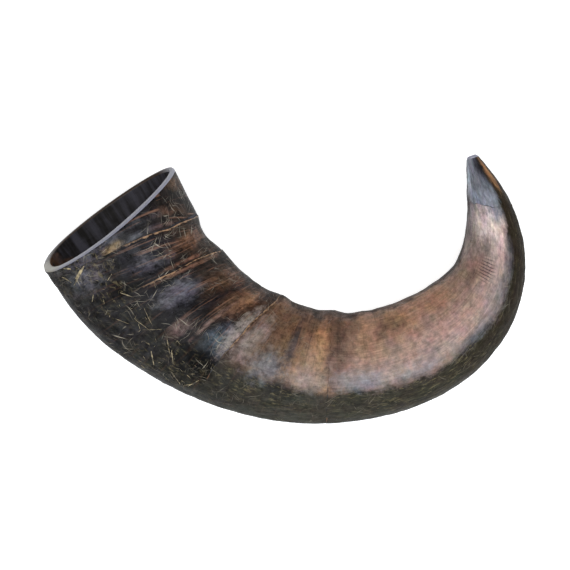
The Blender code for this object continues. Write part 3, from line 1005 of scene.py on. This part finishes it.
def hollow_lining(name):
    """The wall of the hollow: dark, with grey streaks along it and brown stains at the outer curve."""
    material = bpy.data.materials.new(name)
    material.use_nodes = True
    nodes, links = material.node_tree.nodes, material.node_tree.links
    shader = nodes["Principled BSDF"]
    shader.inputs["Specular IOR Level"].default_value = 0.2
    stains = nodes.new("NodeFrame")
    stains.label = "stains"
    growth = nodes.new("ShaderNodeAttribute")
    growth.label = "distance from the mouth, outwards, up"
    growth.attribute_name = "growth"
    split = nodes.new("ShaderNodeSeparateXYZ")
    split.label = "the three parts of the place"
    stain = nodes.new("ShaderNodeTexNoise")
    stain.label = "brown stains"
    stain.inputs["Scale"].default_value = 120.0
    stain.inputs["Detail"].default_value = 7.0
    stain_place = nodes.new("ShaderNodeMath")
    stain_place.label = "stains gather at the outer curve"
    stain_place.operation = "MULTIPLY_ADD"
    stain_place.inputs[1].default_value = 0.045
    stain_mask = nodes.new("ShaderNodeMapRange")
    stain_mask.label = "where it is stained"
    stain_mask.inputs["From Min"].default_value = 0.043
    stain_mask.inputs["From Max"].default_value = 0.056
    colour = nodes.new("ShaderNodeMix")
    colour.label = "lining colour"
    colour.data_type = "RGBA"
    colour.inputs["B"].default_value = LINING_BROWN
    streak_grid = nodes.new("ShaderNodeMapping")
    streak_grid.label = "squeezed, so streaks run along"
    streak_grid.inputs["Scale"].default_value = (34.0, 210.0, 210.0)
    streak = nodes.new("ShaderNodeTexNoise")
    streak.label = "grey streaks of the layers"
    streak.inputs["Scale"].default_value = 1.0
    streak.inputs["Detail"].default_value = 6.0
    streak.inputs["Roughness"].default_value = 0.6
    streak_mask = nodes.new("ShaderNodeMapRange")
    streak_mask.label = "where it is grey"
    streak_mask.inputs["From Min"].default_value = 0.44
    streak_mask.inputs["From Max"].default_value = 0.66
    streaked = nodes.new("ShaderNodeMix")
    streaked.label = "streaked lining"
    streaked.data_type = "RGBA"
    streaked.inputs["A"].default_value = LINING_DARK
    streaked.inputs["B"].default_value = LINING_GREY
    links.new(growth.outputs["Vector"], split.inputs["Vector"])
    links.new(growth.outputs["Vector"], stain.inputs["Vector"])
    links.new(stain.outputs["Fac"], stain_place.inputs[0])
    links.new(split.outputs["Y"], stain_place.inputs[2])
    links.new(stain_place.outputs["Value"], stain_mask.inputs["Value"])
    links.new(stain_mask.outputs["Result"], colour.inputs["Factor"])
    links.new(growth.outputs["Vector"], streak_grid.inputs["Vector"])
    links.new(streak_grid.outputs["Vector"], streak.inputs["Vector"])
    links.new(streak.outputs["Fac"], streak_mask.inputs["Value"])
    links.new(streak_mask.outputs["Result"], streaked.inputs["Factor"])
    links.new(streaked.outputs["Result"], colour.inputs["A"])
    links.new(colour.outputs["Result"], shader.inputs["Base Color"])

    ribs = nodes.new("NodeFrame")
    ribs.label = "ribs and roughness"
    grid = nodes.new("ShaderNodeMapping")
    grid.label = "squeezed, so ribs run across"
    grid.inputs["Scale"].default_value = (420.0, 130.0, 130.0)
    rib = nodes.new("ShaderNodeTexNoise")
    rib.label = "ribs of the layers"
    rib.inputs["Scale"].default_value = 1.0
    rib.inputs["Detail"].default_value = 6.0
    rib_gloss = nodes.new("ShaderNodeMapRange")
    rib_gloss.label = "uneven dullness"
    rib_gloss.inputs["To Min"].default_value = 0.45
    rib_gloss.inputs["To Max"].default_value = 0.80
    rib_bump = nodes.new("ShaderNodeBump")
    rib_bump.label = "rib relief"
    rib_bump.inputs["Strength"].default_value = 0.6
    rib_bump.inputs["Distance"].default_value = 0.0012
    links.new(growth.outputs["Vector"], grid.inputs["Vector"])
    links.new(grid.outputs["Vector"], rib.inputs["Vector"])
    links.new(rib.outputs["Fac"], rib_gloss.inputs["Value"])
    links.new(rib_gloss.outputs["Result"], shader.inputs["Roughness"])
    links.new(rib.outputs["Fac"], rib_bump.inputs["Height"])
    links.new(rib_bump.outputs["Normal"], shader.inputs["Normal"])
    lay_out((
        (stains, (growth, split, stain, stain_place, stain_mask, colour)),
        (stains, (streak_grid, streak, streak_mask, streaked)),
        (ribs, (grid, rib, rib_gloss, rib_bump)),
    ))
    return material


def sawn_keratin(name):
    """The sawn rim: filed and polished, raw and brown below, painted highlight grey above."""
    material = bpy.data.materials.new(name)
    material.use_nodes = True
    nodes, links = material.node_tree.nodes, material.node_tree.links
    shader = nodes["Principled BSDF"]
    shader.inputs["Coat Weight"].default_value = 0.4
    shader.inputs["Coat Roughness"].default_value = 0.15
    cut = nodes.new("NodeFrame")
    cut.label = "saw cut"
    growth = nodes.new("ShaderNodeAttribute")
    growth.label = "distance from the mouth, outwards, up"
    growth.attribute_name = "growth"
    split = nodes.new("ShaderNodeSeparateXYZ")
    split.label = "the three parts of the place"
    dry = nodes.new("ShaderNodeMapRange")
    dry.label = "dry at the outer end"
    dry.inputs["From Min"].default_value = 0.0270
    dry.inputs["From Max"].default_value = 0.0292
    # Painted highlight: the upper side of the rim is grey, the lower side brown.
    upper = nodes.new("ShaderNodeMapRange")
    upper.label = "painted highlight above, brown below"
    upper.inputs["From Min"].default_value = -0.012
    upper.inputs["From Max"].default_value = 0.006
    # The grey is the painted highlight of the upper rim.
    side = nodes.new("ShaderNodeMix")
    side.label = "grey above, brown below"
    side.data_type = "RGBA"
    side.inputs["A"].default_value = tone(58, 42, 32)
    side.inputs["B"].default_value = tone(134, 134, 148)
    colour = nodes.new("ShaderNodeMix")
    colour.label = "cut colour"
    colour.data_type = "RGBA"
    colour.inputs["B"].default_value = tone(134, 126, 108)
    grain = nodes.new("ShaderNodeTexNoise")
    grain.label = "saw and file marks"
    grain.inputs["Scale"].default_value = 900.0
    grain.inputs["Detail"].default_value = 4.0
    dullness = nodes.new("ShaderNodeMapRange")
    dullness.label = "uneven polish"
    dullness.inputs["To Min"].default_value = 0.22
    dullness.inputs["To Max"].default_value = 0.55
    marks = nodes.new("ShaderNodeBump")
    marks.label = "file marks"
    marks.inputs["Strength"].default_value = 0.25
    marks.inputs["Distance"].default_value = 0.0003
    links.new(growth.outputs["Vector"], split.inputs["Vector"])
    links.new(split.outputs["Y"], dry.inputs["Value"])
    links.new(dry.outputs["Result"], colour.inputs["Factor"])
    links.new(split.outputs["Z"], upper.inputs["Value"])
    links.new(upper.outputs["Result"], side.inputs["Factor"])
    links.new(side.outputs["Result"], colour.inputs["A"])
    links.new(colour.outputs["Result"], shader.inputs["Base Color"])
    links.new(growth.outputs["Vector"], grain.inputs["Vector"])
    links.new(grain.outputs["Fac"], dullness.inputs["Value"])
    links.new(dullness.outputs["Result"], shader.inputs["Roughness"])
    links.new(grain.outputs["Fac"], marks.inputs["Height"])
    links.new(marks.outputs["Normal"], shader.inputs["Normal"])
    lay_out(((cut, (growth, split, upper, side, dry, colour, grain, dullness, marks)),))
    return material


AROUND = 60
ROW_PITCH = 3.6
LAP_ROWS = 4
RIM_ROUNDING = 0.7
TIP_ROUNDING = 1.1
SEAM_ANGLE = -pi / 2
SKIN, LINING, CUT = 0, 1, 2
CRISP_EDGE = 0.9
UNEVEN_HEIGHT = 0.0005

# A distance too far off to show an edge, how many lines have painted shade just below them, and how
# far that painted shade keeps off where a line isn't scraped.
NO_EDGE = 50.0
LIP_SHADE_LINES = 3
LIP_SHADE_GAP = 1.6

unevenness = bpy.data.textures.new("unevenness", "CLOUDS")
unevenness.noise_scale = 0.005
unevenness.noise_depth = 3


def rows(start, end, rule, part):
    """Rings between two edges, both left out, as (distance from the mouth by angle, rule, part)."""
    count = max(2, round(abs(end(0) - start(0)) / ROW_PITCH))
    return [
        (lambda angle, share=row / count: start(angle) * (1 - share) + end(angle) * share, rule, part)
        for row in range(1, count)
    ]


def lap_rows(k):
    """The rings along the joint at line k, from just inside its edge to the spigot's end."""
    return [
        (
            lambda angle, share=(row / LAP_ROWS) ** 1.6: growth_line(k, angle) * (1 - share)
            + spigot_tip(k, angle) * share,
            joint(k),
            LINING,
        )
        for row in range(1, LAP_ROWS + 1)
    ]


def sheath_rings(k):
    """The rings round sheath k, in order, and the places in that order of its crisp edges."""
    if k:
        bottom = lambda angle: spigot_tip(k - 1, angle) + SPIGOT_CLEARANCE
        edge = lambda angle: growth_line(k - 1, angle) - OVERHANG
        near = [(bottom, hollow, LINING), (bottom, joint(k - 1), LINING)]
        near += reversed(lap_rows(k - 1)[:-1])
        near += [(edge, joint(k - 1, FEATHER), SKIN), (edge, skin(k), SKIN)]
        crisp = [len(near) - 2, len(near) - 1]
    else:
        near = [
            (lambda angle: RIM_ROUNDING, hollow, CUT),
            (lambda angle: 0.0, lambda r, a, radius: hollow(r, a, radius) - RIM_ROUNDING, CUT),
            (lambda angle: 0.0, lambda r, a, radius: RIM_ROUNDING, CUT),
            (lambda angle: RIM_ROUNDING, skin(k), SKIN),
        ]
        crisp = [0, 1, 2, 3]
    if k < len(GROWTH_LINES):
        last = lambda angle: growth_line(k, angle)
        end = lambda angle: spigot_tip(k, angle)
        far = [(last, skin(k), LINING)] + lap_rows(k) + [(end, hollow, LINING)]
        far_crisp = [len(far) - 1]
    else:
        last = lambda angle: LENGTH - TIP_ROUNDING
        rounded = lambda angle: LENGTH - 0.3 * TIP_ROUNDING
        end = lambda angle: LENGTH
        far = [
            (last, skin(k), CUT),
            (rounded, lambda r, a, radius: 0.3 * TIP_ROUNDING, CUT),
            (end, lambda r, a, radius: 0.85 * TIP_ROUNDING, CUT),
            (end, hollow, LINING),
        ]
        far_crisp = [3]
    outer = rows(near[-1][0], far[0][0], skin(k), SKIN)
    inner = rows(far[-1][0], near[0][0], hollow, LINING)
    crisp += [len(near) + len(outer) + at for at in far_crisp]
    return near + outer + far + inner, crisp


def edge_places(k, run, angle):
    """Distances of a point on sheath k from its mouth edge and tip edge, and the mouth edge's paleness."""
    from_edge = to_edge = NO_EDGE
    paleness = 0.0
    if k:
        from_edge = run - growth_line(k - 1, angle)
        paleness = scraped(k - 1, angle)
    # The distance to the tip edge places the painted shade just below the next sheath's edge.
    if k < LIP_SHADE_LINES:
        to_edge = growth_line(k, angle) - run + LIP_SHADE_GAP * (1 - scraped(k, angle))
    return max(0.0, from_edge) * MM, max(0.0, to_edge) * MM, paleness


def finished_object(name, mesh):
    """The object made of a built mesh, at the origin."""
    data = bpy.data.meshes.new(name)
    mesh.to_mesh(data)
    mesh.free()
    made = bpy.data.objects.new(name, data)
    bpy.context.scene.collection.objects.link(made)
    return made


def build_sheath(name, k, finishes):
    """Sheath k as a closed shell of rings, its three materials given for outside, lining and cut."""
    mesh = bmesh.new()
    unrolled = mesh.loops.layers.uv.new("unrolled")
    growth = mesh.verts.layers.float_vector.new("growth")
    edges = mesh.verts.layers.float_vector.new("edges")
    crease = mesh.edges.layers.float.new("crease_edge")
    outside = mesh.verts.layers.deform.new()
    rings, crisp = sheath_rings(k)
    loops, places = [], []
    for run_at, rule, part in rings:
        loop, spots = [], []
        for step in range(AROUND):
            angle = SEAM_ANGLE + 2 * pi * step / AROUND
            run = run_at(angle)
            vertex = mesh.verts.new(surface_point(run, angle, rule) + settle)
            vertex[growth] = growth_place(run, angle)
            vertex[edges] = edge_places(k, run, angle)
            if part == SKIN:
                vertex[outside][0] = 1.0
            loop.append(vertex)
            spots.append(run * MM)
        loops.append(loop)
        places.append(spots)
    for at, (here, there) in enumerate(zip(loops, loops[1:] + loops[:1])):
        ahead = (at + 1) % len(loops)
        part = rings[at][2]
        for i in range(AROUND):
            j = (i + 1) % AROUND
            face = mesh.faces.new((here[i], here[j], there[j], there[i]))
            face.material_index = part
            face.smooth = True
            corners = ((at, i), (at, i + 1), (ahead, i + 1), (ahead, i))
            for corner, (ring, step) in zip(face.loops, corners):
                turn = (SEAM_ANGLE + 2 * pi * step / AROUND) * GROWTH_RADIUS
                corner[unrolled].uv = (places[ring][step % AROUND], turn)
    for at in crisp:
        for i in range(AROUND):
            edge = mesh.edges.get((loops[at][i], loops[at][(i + 1) % AROUND]))
            edge[crease] = CRISP_EDGE
            edge.smooth = k == 0
    bmesh.ops.recalc_face_normals(mesh, faces=mesh.faces)
    sheath = finished_object(name, mesh)
    sheath.vertex_groups.new(name="outside")
    for finish in finishes:
        sheath.data.materials.append(finish)
    rounding = sheath.modifiers.new("rounding", "SUBSURF")
    rounding.levels = 2
    rounding.render_levels = 2
    pressing = sheath.modifiers.new("unevenness", "DISPLACE")
    pressing.texture = unevenness
    pressing.texture_coords = "LOCAL"
    pressing.strength = UNEVEN_HEIGHT
    pressing.mid_level = 0.5
    pressing.vertex_group = "outside"
    return sheath


lining = hollow_lining("hollow_lining")
sawn = sawn_keratin("sawn_keratin")

# Each blot: distance from the mouth and angle, half length along and around, colour, strength.
BELL_BLOTS = (
    (7.5, 72, 3, 4.5, (118, 96, 66), 0.8),
    (13.5, 106, 2, 12, (58, 58, 67), 0.8),
    (9.5, 126, 1.4, 12, (72, 48, 30), 0.85),
    (2.5, 150, 1.8, 9, (84, 56, 34), 0.8),
    (3.5, 104, 1.6, 9, (38, 36, 40), 0.8),
    (4.5, 46, 6, 9, (56, 54, 61), 0.8),
    (17.5, 120, 2, 10, (60, 42, 30), 0.7),
    (6.5, 140, 2, 10, (24, 20, 18), 0.8),
    # Painted highlight: the lavender line under the near rim.
    (1.5, 66, 2.5, 8, (66, 65, 76), 0.75),
    (2.5, 22, 4, 6, (64, 62, 62), 0.6),
)
BELL_LOOK = horn_keratin(
    "bell_keratin",
    seed=1.0,
    scratched=1.0,
    fibrous=0.35,
    banded=0.75,
    patchy=0.95,
    polish=0.3,
    blots=BELL_BLOTS,
)
bell_sheath = build_sheath("bell_sheath", 0, (BELL_LOOK, lining, sawn))
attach(bell_sheath, "root")
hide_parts("bell_cone")

# ---------------------------------------------------------------------------------------------------
# The flare sheath: the next older keratin. Its thin edge was scraped pale where it lies over the bell
# sheath, and behind the edge it goes from black to rust brown at the inner curve.

FLARE_BLOTS = (
    (19.5, 96, 4, 9, (28, 27, 33), 0.8),
    (22.5, 150, 2, 10, (26, 26, 22), 0.85),
    (26.5, 90, 4, 8, (58, 56, 64), 0.65),
    (36.5, 140, 5, 11, (92, 60, 40), 0.85),
    (32.5, 66, 10, 12, (3, 3, 4), 0.99),
    (45.5, 150, 3, 9, (30, 24, 20), 0.75),
    (18.5, 142, 1.6, 9, (84, 56, 38), 0.75),
    (42.5, 118, 1.4, 11, (96, 66, 50), 0.7),
    (31.5, 122, 1.6, 9, (62, 44, 34), 0.7),
    (13.5, 42, 8, 9, (68, 66, 71), 0.75),
    (20.5, 20, 6, 6, (52, 50, 50), 0.6),
)
FLARE_LOOK = horn_keratin(
    "flare_keratin",
    seed=2.0,
    scratched=1.0,
    fibrous=0.35,
    banded=0.75,
    patchy=0.95,
    polish=0.3,
    blots=FLARE_BLOTS,
)
flare_sheath = build_sheath("flare_sheath", 1, (FLARE_LOOK, lining, sawn))
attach(flare_sheath, "root")
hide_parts("flare_cone")

# ---------------------------------------------------------------------------------------------------
# The shoulder sheath: where the horn narrows. It is still black at the outer side, with blue-grey
# patches of painted sheen along its top, and rust brown at the inner curve.

SHOULDER_BLOTS = (
    # Painted sheen: a blue-grey patch along the top.
    (51.5, 96, 7, 8, (78, 77, 85), 0.85),
    (63.5, 72, 4, 6, (88, 68, 64), 0.75),
    (70.5, 108, 4, 12, (24, 20, 21), 0.85),
    (67.5, 136, 7, 12, (70, 50, 35), 0.85),
    # Painted sheen: a blue-grey patch along the top.
    (85.5, 80, 8, 8, (54, 65, 76), 0.9),
    (82.5, 56, 15, 9, (4, 4, 5), 0.98),
    (81.5, 122, 5, 8, (70, 50, 36), 0.7),
    (89.5, 134, 5, 13, (114, 82, 60), 0.85),
    (93.5, 102, 5, 10, (132, 118, 112), 0.85),
    (56.5, 122, 4, 8, (34, 27, 24), 0.75),
    (48.5, 120, 1.3, 12, (98, 70, 54), 0.7),
    (76.5, 96, 1.4, 9, (100, 76, 68), 0.7),
    (58.5, 30, 14, 5, (46, 45, 43), 0.5),
)
SHOULDER_LOOK = horn_keratin(
    "shoulder_keratin",
    seed=3.0,
    scratched=0.9,
    fibrous=0.35,
    banded=0.65,
    patchy=0.72,
    polish=0.28,
    blots=SHOULDER_BLOTS,
)
shoulder_sheath = build_sheath("shoulder_sheath", 2, (SHOULDER_LOOK, lining, sawn))
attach(shoulder_sheath, "root")
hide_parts("shoulder_cone")

# ---------------------------------------------------------------------------------------------------
# The belly sheath: brown keratin with a tan patch that is a painted highlight and dark bands, shiny
# along the crease between its top and its outer side, partly from the window lamp and partly from
# painted sheen.

BELLY_BLOTS = (
    # Painted sheen along the crease.
    (112.5, 78, 9, 7, (82, 82, 86), 0.85),
    (123.5, 108, 4, 9, (50, 46, 48), 0.8),
    # Painted highlight: the tan patch.
    (138.5, 112, 4.5, 11, (160, 117, 84), 0.7),
    (110.5, 150, 8, 12, (108, 76, 52), 0.6),
    (129.5, 146, 5, 10, (84, 60, 42), 0.7),
    # Painted sheen along the crease.
    (132.5, 74, 10, 5, (116, 106, 104), 0.65),
    (101.5, 100, 6, 9, (126, 110, 104), 0.8),
    (134.5, 92, 7, 7, (136, 112, 96), 0.5),
)
BELLY_LOOK = horn_keratin(
    "belly_keratin",
    seed=4.0,
    scratched=0.3,
    fibrous=0.4,
    banded=0.45,
    patchy=0.45,
    polish=0.32,
    blots=BELLY_BLOTS,
)
belly_sheath = build_sheath("belly_sheath", 3, (BELLY_LOOK, lining, sawn))
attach(belly_sheath, "root")
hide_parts("belly_cone")

# ---------------------------------------------------------------------------------------------------
# The bend sheath: the long brown sheath round the belly and the bend, with fibres showing along it, a
# dark band at its start, a few short wrinkles across the bend drawn as painted shade, painted sheen
# along the crease and a black outer side.

BEND_BLOTS = (
    # Every blot at 64 to 76 degrees round the horn is painted sheen along the crease.
    (149.5, 122, 4, 15, (74, 54, 44), 0.75),
    (166.5, 126, 8, 11, (158, 122, 98), 0.55),
    (172.5, 74, 13, 5, (130, 114, 108), 0.7),
    (199.5, 76, 17, 5, (128, 112, 106), 0.7),
    (234.5, 70, 13, 4.5, (110, 102, 104), 0.6),
    (194.5, 160, 18, 10, (156, 116, 88), 0.7),
    (223.5, 150, 10, 8, (140, 106, 84), 0.6),
    (248.5, 112, 6, 6, (122, 84, 76), 0.55),
    (273.5, 112, 10, 6, (190, 172, 166), 0.75),
    (158.5, 148, 5, 8, (88, 62, 46), 0.6),
    (260.5, 146, 10, 4, (130, 116, 112), 0.6),
    (161.5, 69, 9, 3, (92, 92, 100), 0.6),
    (186.5, 69, 12, 2.6, (96, 97, 106), 0.6),
    (216.5, 66, 12, 2.6, (84, 84, 92), 0.6),
    (252.5, 64, 12, 2.4, (78, 76, 82), 0.6),
    (186, 130, 10, 7, (132, 90, 64), 0.5),
    (166, 108, 6, 6, (122, 92, 74), 0.5),
    (213, 134, 9, 6, (150, 104, 78), 0.5),
    (178, 100, 4, 4, (108, 92, 88), 0.5),
    (203, 112, 5, 4, (118, 96, 90), 0.45),
    (156, 76, 12, 4, (106, 106, 112), 0.55),
)
BEND_LOOK = horn_keratin(
    "bend_keratin",
    seed=5.0,
    scratched=0.25,
    fibrous=0.65,
    banded=0.2,
    patchy=0.38,
    polish=0.34,
    blots=BEND_BLOTS,
    wrinkled=0.85,
)
bend_sheath = build_sheath("bend_sheath", 4, (BEND_LOOK, lining, sawn))
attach(bend_sheath, "root")
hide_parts("bend_cone")

# ---------------------------------------------------------------------------------------------------
# The tip sheath: the oldest keratin, solid but for the bore drilled through it, cut off square and
# rounded at the blow hole. It is dark slate grey and polished by handling, with a painted highlight
# as a pale streak on its inner side and a thin rusty streak on its outer side.

TIP_BLOTS = (
    (301.5, 72, 6, 2.6, (16, 14, 20), 0.95),
    # Painted highlight: the pale streak on the inner side.
    (297.5, 150, 10, 2.6, (150, 156, 166), 0.85),
    (286.5, 112, 5, 6, (108, 114, 126), 0.8),
    (297.5, 44, 9, 1.5, (150, 108, 72), 0.9),
)
TIP_LOOK = horn_keratin(
    "tip_keratin",
    seed=6.0,
    scratched=0.1,
    fibrous=0.6,
    banded=0.0,
    patchy=0.4,
    polish=0.24,
    blots=TIP_BLOTS,
)
tip_sheath = build_sheath("tip_sheath", 5, (TIP_LOOK, lining, sawn))
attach(tip_sheath, "root")
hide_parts("tip_cone")

# ---------------------------------------------------------------------------------------------------
# Split fibres: thin straw-coloured slivers of keratin that scraping has lifted off the young sheaths
# round the bell. They lie on the surface with their ends curled up. The long ones are placed singly.

FIBRE_DARKEST = tone(62, 56, 46)
FIBRE_PALEST = tone(168, 152, 118)


def split_fibre(name):
    """Dry straw-coloured keratin."""
    material = bpy.data.materials.new(name)
    material.use_nodes = True
    nodes, links = material.node_tree.nodes, material.node_tree.links
    shader = nodes["Principled BSDF"]
    straw = nodes.new("NodeFrame")
    straw.label = "dry straw colour"
    spot = nodes.new("ShaderNodeTexCoord")
    spot.label = "place on the object"
    noise = nodes.new("ShaderNodeTexNoise")
    noise.label = "pale and dark straw"
    noise.inputs["Scale"].default_value = 420.0
    noise.inputs["Detail"].default_value = 4.0
    ramp = nodes.new("ShaderNodeValToRGB")
    ramp.label = "straw colour"
    ramp.color_ramp.elements[0].position = 0.40
    ramp.color_ramp.elements[0].color = FIBRE_DARKEST
    ramp.color_ramp.elements[1].position = 0.62
    ramp.color_ramp.elements[1].color = FIBRE_PALEST
    rough = nodes.new("ShaderNodeMapRange")
    rough.label = "dry, a little uneven"
    rough.inputs["To Min"].default_value = 0.55
    rough.inputs["To Max"].default_value = 0.85
    bump_node = nodes.new("ShaderNodeBump")
    bump_node.label = "split grain"
    bump_node.inputs["Strength"].default_value = 0.4
    bump_node.inputs["Distance"].default_value = 0.0002
    links.new(spot.outputs["Object"], noise.inputs["Vector"])
    links.new(noise.outputs["Fac"], ramp.inputs["Fac"])
    links.new(noise.outputs["Fac"], rough.inputs["Value"])
    links.new(noise.outputs["Fac"], bump_node.inputs["Height"])
    links.new(ramp.outputs["Color"], shader.inputs["Base Color"])
    links.new(rough.outputs["Result"], shader.inputs["Roughness"])
    links.new(bump_node.outputs["Normal"], shader.inputs["Normal"])
    lay_out(((straw, (spot, noise, ramp, rough, bump_node)),))
    return material


# Distance from the mouth and angle round the horn of each end, and the width: mm, degrees, mm.
LONG_SLIVERS = (
    (6.5, 46, 14.5, 30, 1.3),
    (7.5, 42, 11.5, 34, 0.7),
    (1.5, 29, 4.5, 35, 1.1),
    (6.5, 24, 12.5, 30, 0.5),
    (28.5, 59, 34.5, 65, 0.5),
    (22.5, 41, 25.5, 36, 0.6),
    (42.5, 53, 52.5, 54, 0.25),
    (36.5, 42, 42.5, 47, 0.25),
    (41.5, 65, 51.5, 58, 0.22),
    (58.5, 41, 64.5, 30, 0.7),
    (66.5, 52, 71.5, 42, 0.6),
    (72.5, 35, 79.5, 24, 0.7),
    (82.5, 27, 85.5, 41, 0.6),
    (80.5, 24, 84.5, 34, 0.4),
    (48.5, 50, 56.5, 62, 0.25),
    (60.5, 58, 68.5, 46, 0.3),
    (18.5, 62, 20.5, 56, 0.5),
)
SHORT_SLIVER_COUNT = 70
SLIVER_SEGMENTS = 5
SLIVER_THICKNESS = 0.00016
SLIVER_PROUD = 0.10
LONG_CURL = 0.5
SLOPE_TURN = 0.02
MM_PER_RADIAN = 36


def add_sliver(mesh, start, end, width, curl):
    """One strip, pointed at its ends, from start to end: each a distance from the mouth and an angle.
    Its ends curl up by curl, in mm."""
    lie = lambda run, angle, radius: skin(1)(run, angle, radius) - SLIVER_PROUD
    pairs = []
    for segment in range(SLIVER_SEGMENTS + 1):
        share = segment / SLIVER_SEGMENTS
        run = start[0] + (end[0] - start[0]) * share
        angle = start[1] + (end[1] - start[1]) * share
        at = surface_point(run, angle, lie)
        along = surface_point(run + SLOPE_STEP, angle, lie)
        along -= surface_point(run - SLOPE_STEP, angle, lie)
        around = surface_point(run, angle + SLOPE_TURN, lie)
        around -= surface_point(run, angle - SLOPE_TURN, lie)
        normal = along.cross(around).normalized()
        centre, _, _ = frame_at(run)
        if normal.dot(at - centre * MM) < 0:
            normal = -normal
        forward = along.normalized() * (end[0] - start[0])
        heading = forward + around.normalized() * (end[1] - start[1]) * MM_PER_RADIAN
        side = heading.normalized().cross(normal)
        half = width * MM / 2 * max(0.25, sin(pi * min(0.95, 0.08 + share)) ** 0.6)
        lift = normal * curl * MM * (2 * share - 1) ** 4
        pairs.append([mesh.verts.new(at + settle + lift + side * half * way) for way in (-1, 1)])
    for (a, b), (c, d) in zip(pairs, pairs[1:]):
        mesh.faces.new((a, b, d, c)).smooth = True


mesh = bmesh.new()
for run_a, angle_a, run_b, angle_b, width in LONG_SLIVERS:
    add_sliver(mesh, (run_a, radians(angle_a)), (run_b, radians(angle_b)), width, LONG_CURL)
chance = Random(11)
for _ in range(SHORT_SLIVER_COUNT):
    run = chance.triangular(6, 105, 45)
    angle = radians(chance.triangular(5, 85, 42))
    if chance.random() < 0.25:
        angle = -angle
    turn = chance.uniform(0, pi)
    reach = chance.uniform(0.8, 3.2)
    end = (run + reach * cos(turn), angle + reach * sin(turn) / MM_PER_RADIAN)
    add_sliver(mesh, (run, angle), end, chance.uniform(0.10, 0.26), chance.uniform(0.1, 0.3))
slivers = finished_object("split_fibres", mesh)
slivers.data.materials.append(split_fibre("split_fibre"))
thickness = slivers.modifiers.new("thickness", "SOLIDIFY")
thickness.thickness = SLIVER_THICKNESS
thickness.offset = 0.0
softening = slivers.modifiers.new("softening", "SUBSURF")
softening.levels = 1
softening.render_levels = 1
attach(slivers, "root")

# ---------------------------------------------------------------------------------------------------
# The table is a plain matt white board, larger than the view, that the horn lies on. It is lit by two
# windows, a broad lamp overhead and a faint even light from all round.

FLOOR_SIZE = 6.0


def plain_table(name):
    """Matt white, with a little light of its own so that it stays white to the eye."""
    material = bpy.data.materials.new(name)
    material.use_nodes = True
    shader = material.node_tree.nodes["Principled BSDF"]
    shader.inputs["Base Color"].default_value = (0.8, 0.8, 0.8, 1)
    shader.inputs["Roughness"].default_value = 0.9
    shader.inputs["Specular IOR Level"].default_value = 0.1
    shader.inputs["Emission Color"].default_value = (1, 1, 1, 1)
    nodes, links = material.node_tree.nodes, material.node_tree.links
    seen = nodes.new("ShaderNodeLightPath")
    seen.label = "seen straight from the camera"
    seen.location = (-500, 0)
    lit = nodes.new("ShaderNodeMapRange")
    lit.label = "white to the eye, dimmer to the horn"
    lit.location = (-250, 0)
    lit.inputs["To Min"].default_value = 0.04
    lit.inputs["To Max"].default_value = 0.62
    links.new(seen.outputs["Is Camera Ray"], lit.inputs["Value"])
    links.new(lit.outputs["Result"], shader.inputs["Emission Strength"])
    return material


mesh = bmesh.new()
bmesh.ops.create_grid(mesh, x_segments=1, y_segments=1, size=FLOOR_SIZE / 2)
table = finished_object("table", mesh)
table.data.materials.append(plain_table("table_white"))


def soft_light(name, place, size, power, colour):
    """A square lamp at place, in metres, turned to the horn."""
    lamp = bpy.data.lights.new(name, "AREA")
    lamp.shape = "SQUARE"
    lamp.size = size
    lamp.energy = power
    lamp.color = colour
    holder = bpy.data.objects.new(name, lamp)
    bpy.context.scene.collection.objects.link(holder)
    holder.location = place
    holder.rotation_euler = Vector(place).to_track_quat("Z", "Y").to_euler()


soft_light("window", (0.10, -0.95, 1.25), size=0.7, power=22.0, colour=(0.90, 0.95, 1.0))
soft_light("side_window", (1.05, 0.05, 1.15), size=0.6, power=9.0, colour=(0.92, 0.96, 1.0))
soft_light("overhead", (-0.25, 0.45, 1.9), size=1.4, power=18.0, colour=(1.0, 0.99, 0.97))
world = bpy.data.worlds.new("studio")
bpy.context.scene.world = world
world.use_nodes = True
backdrop = world.node_tree.nodes["Background"]
backdrop.inputs["Color"].default_value = (1, 1, 1, 1)
backdrop.inputs["Strength"].default_value = 0.16
bpy.context.scene.view_settings.view_transform = "Standard"
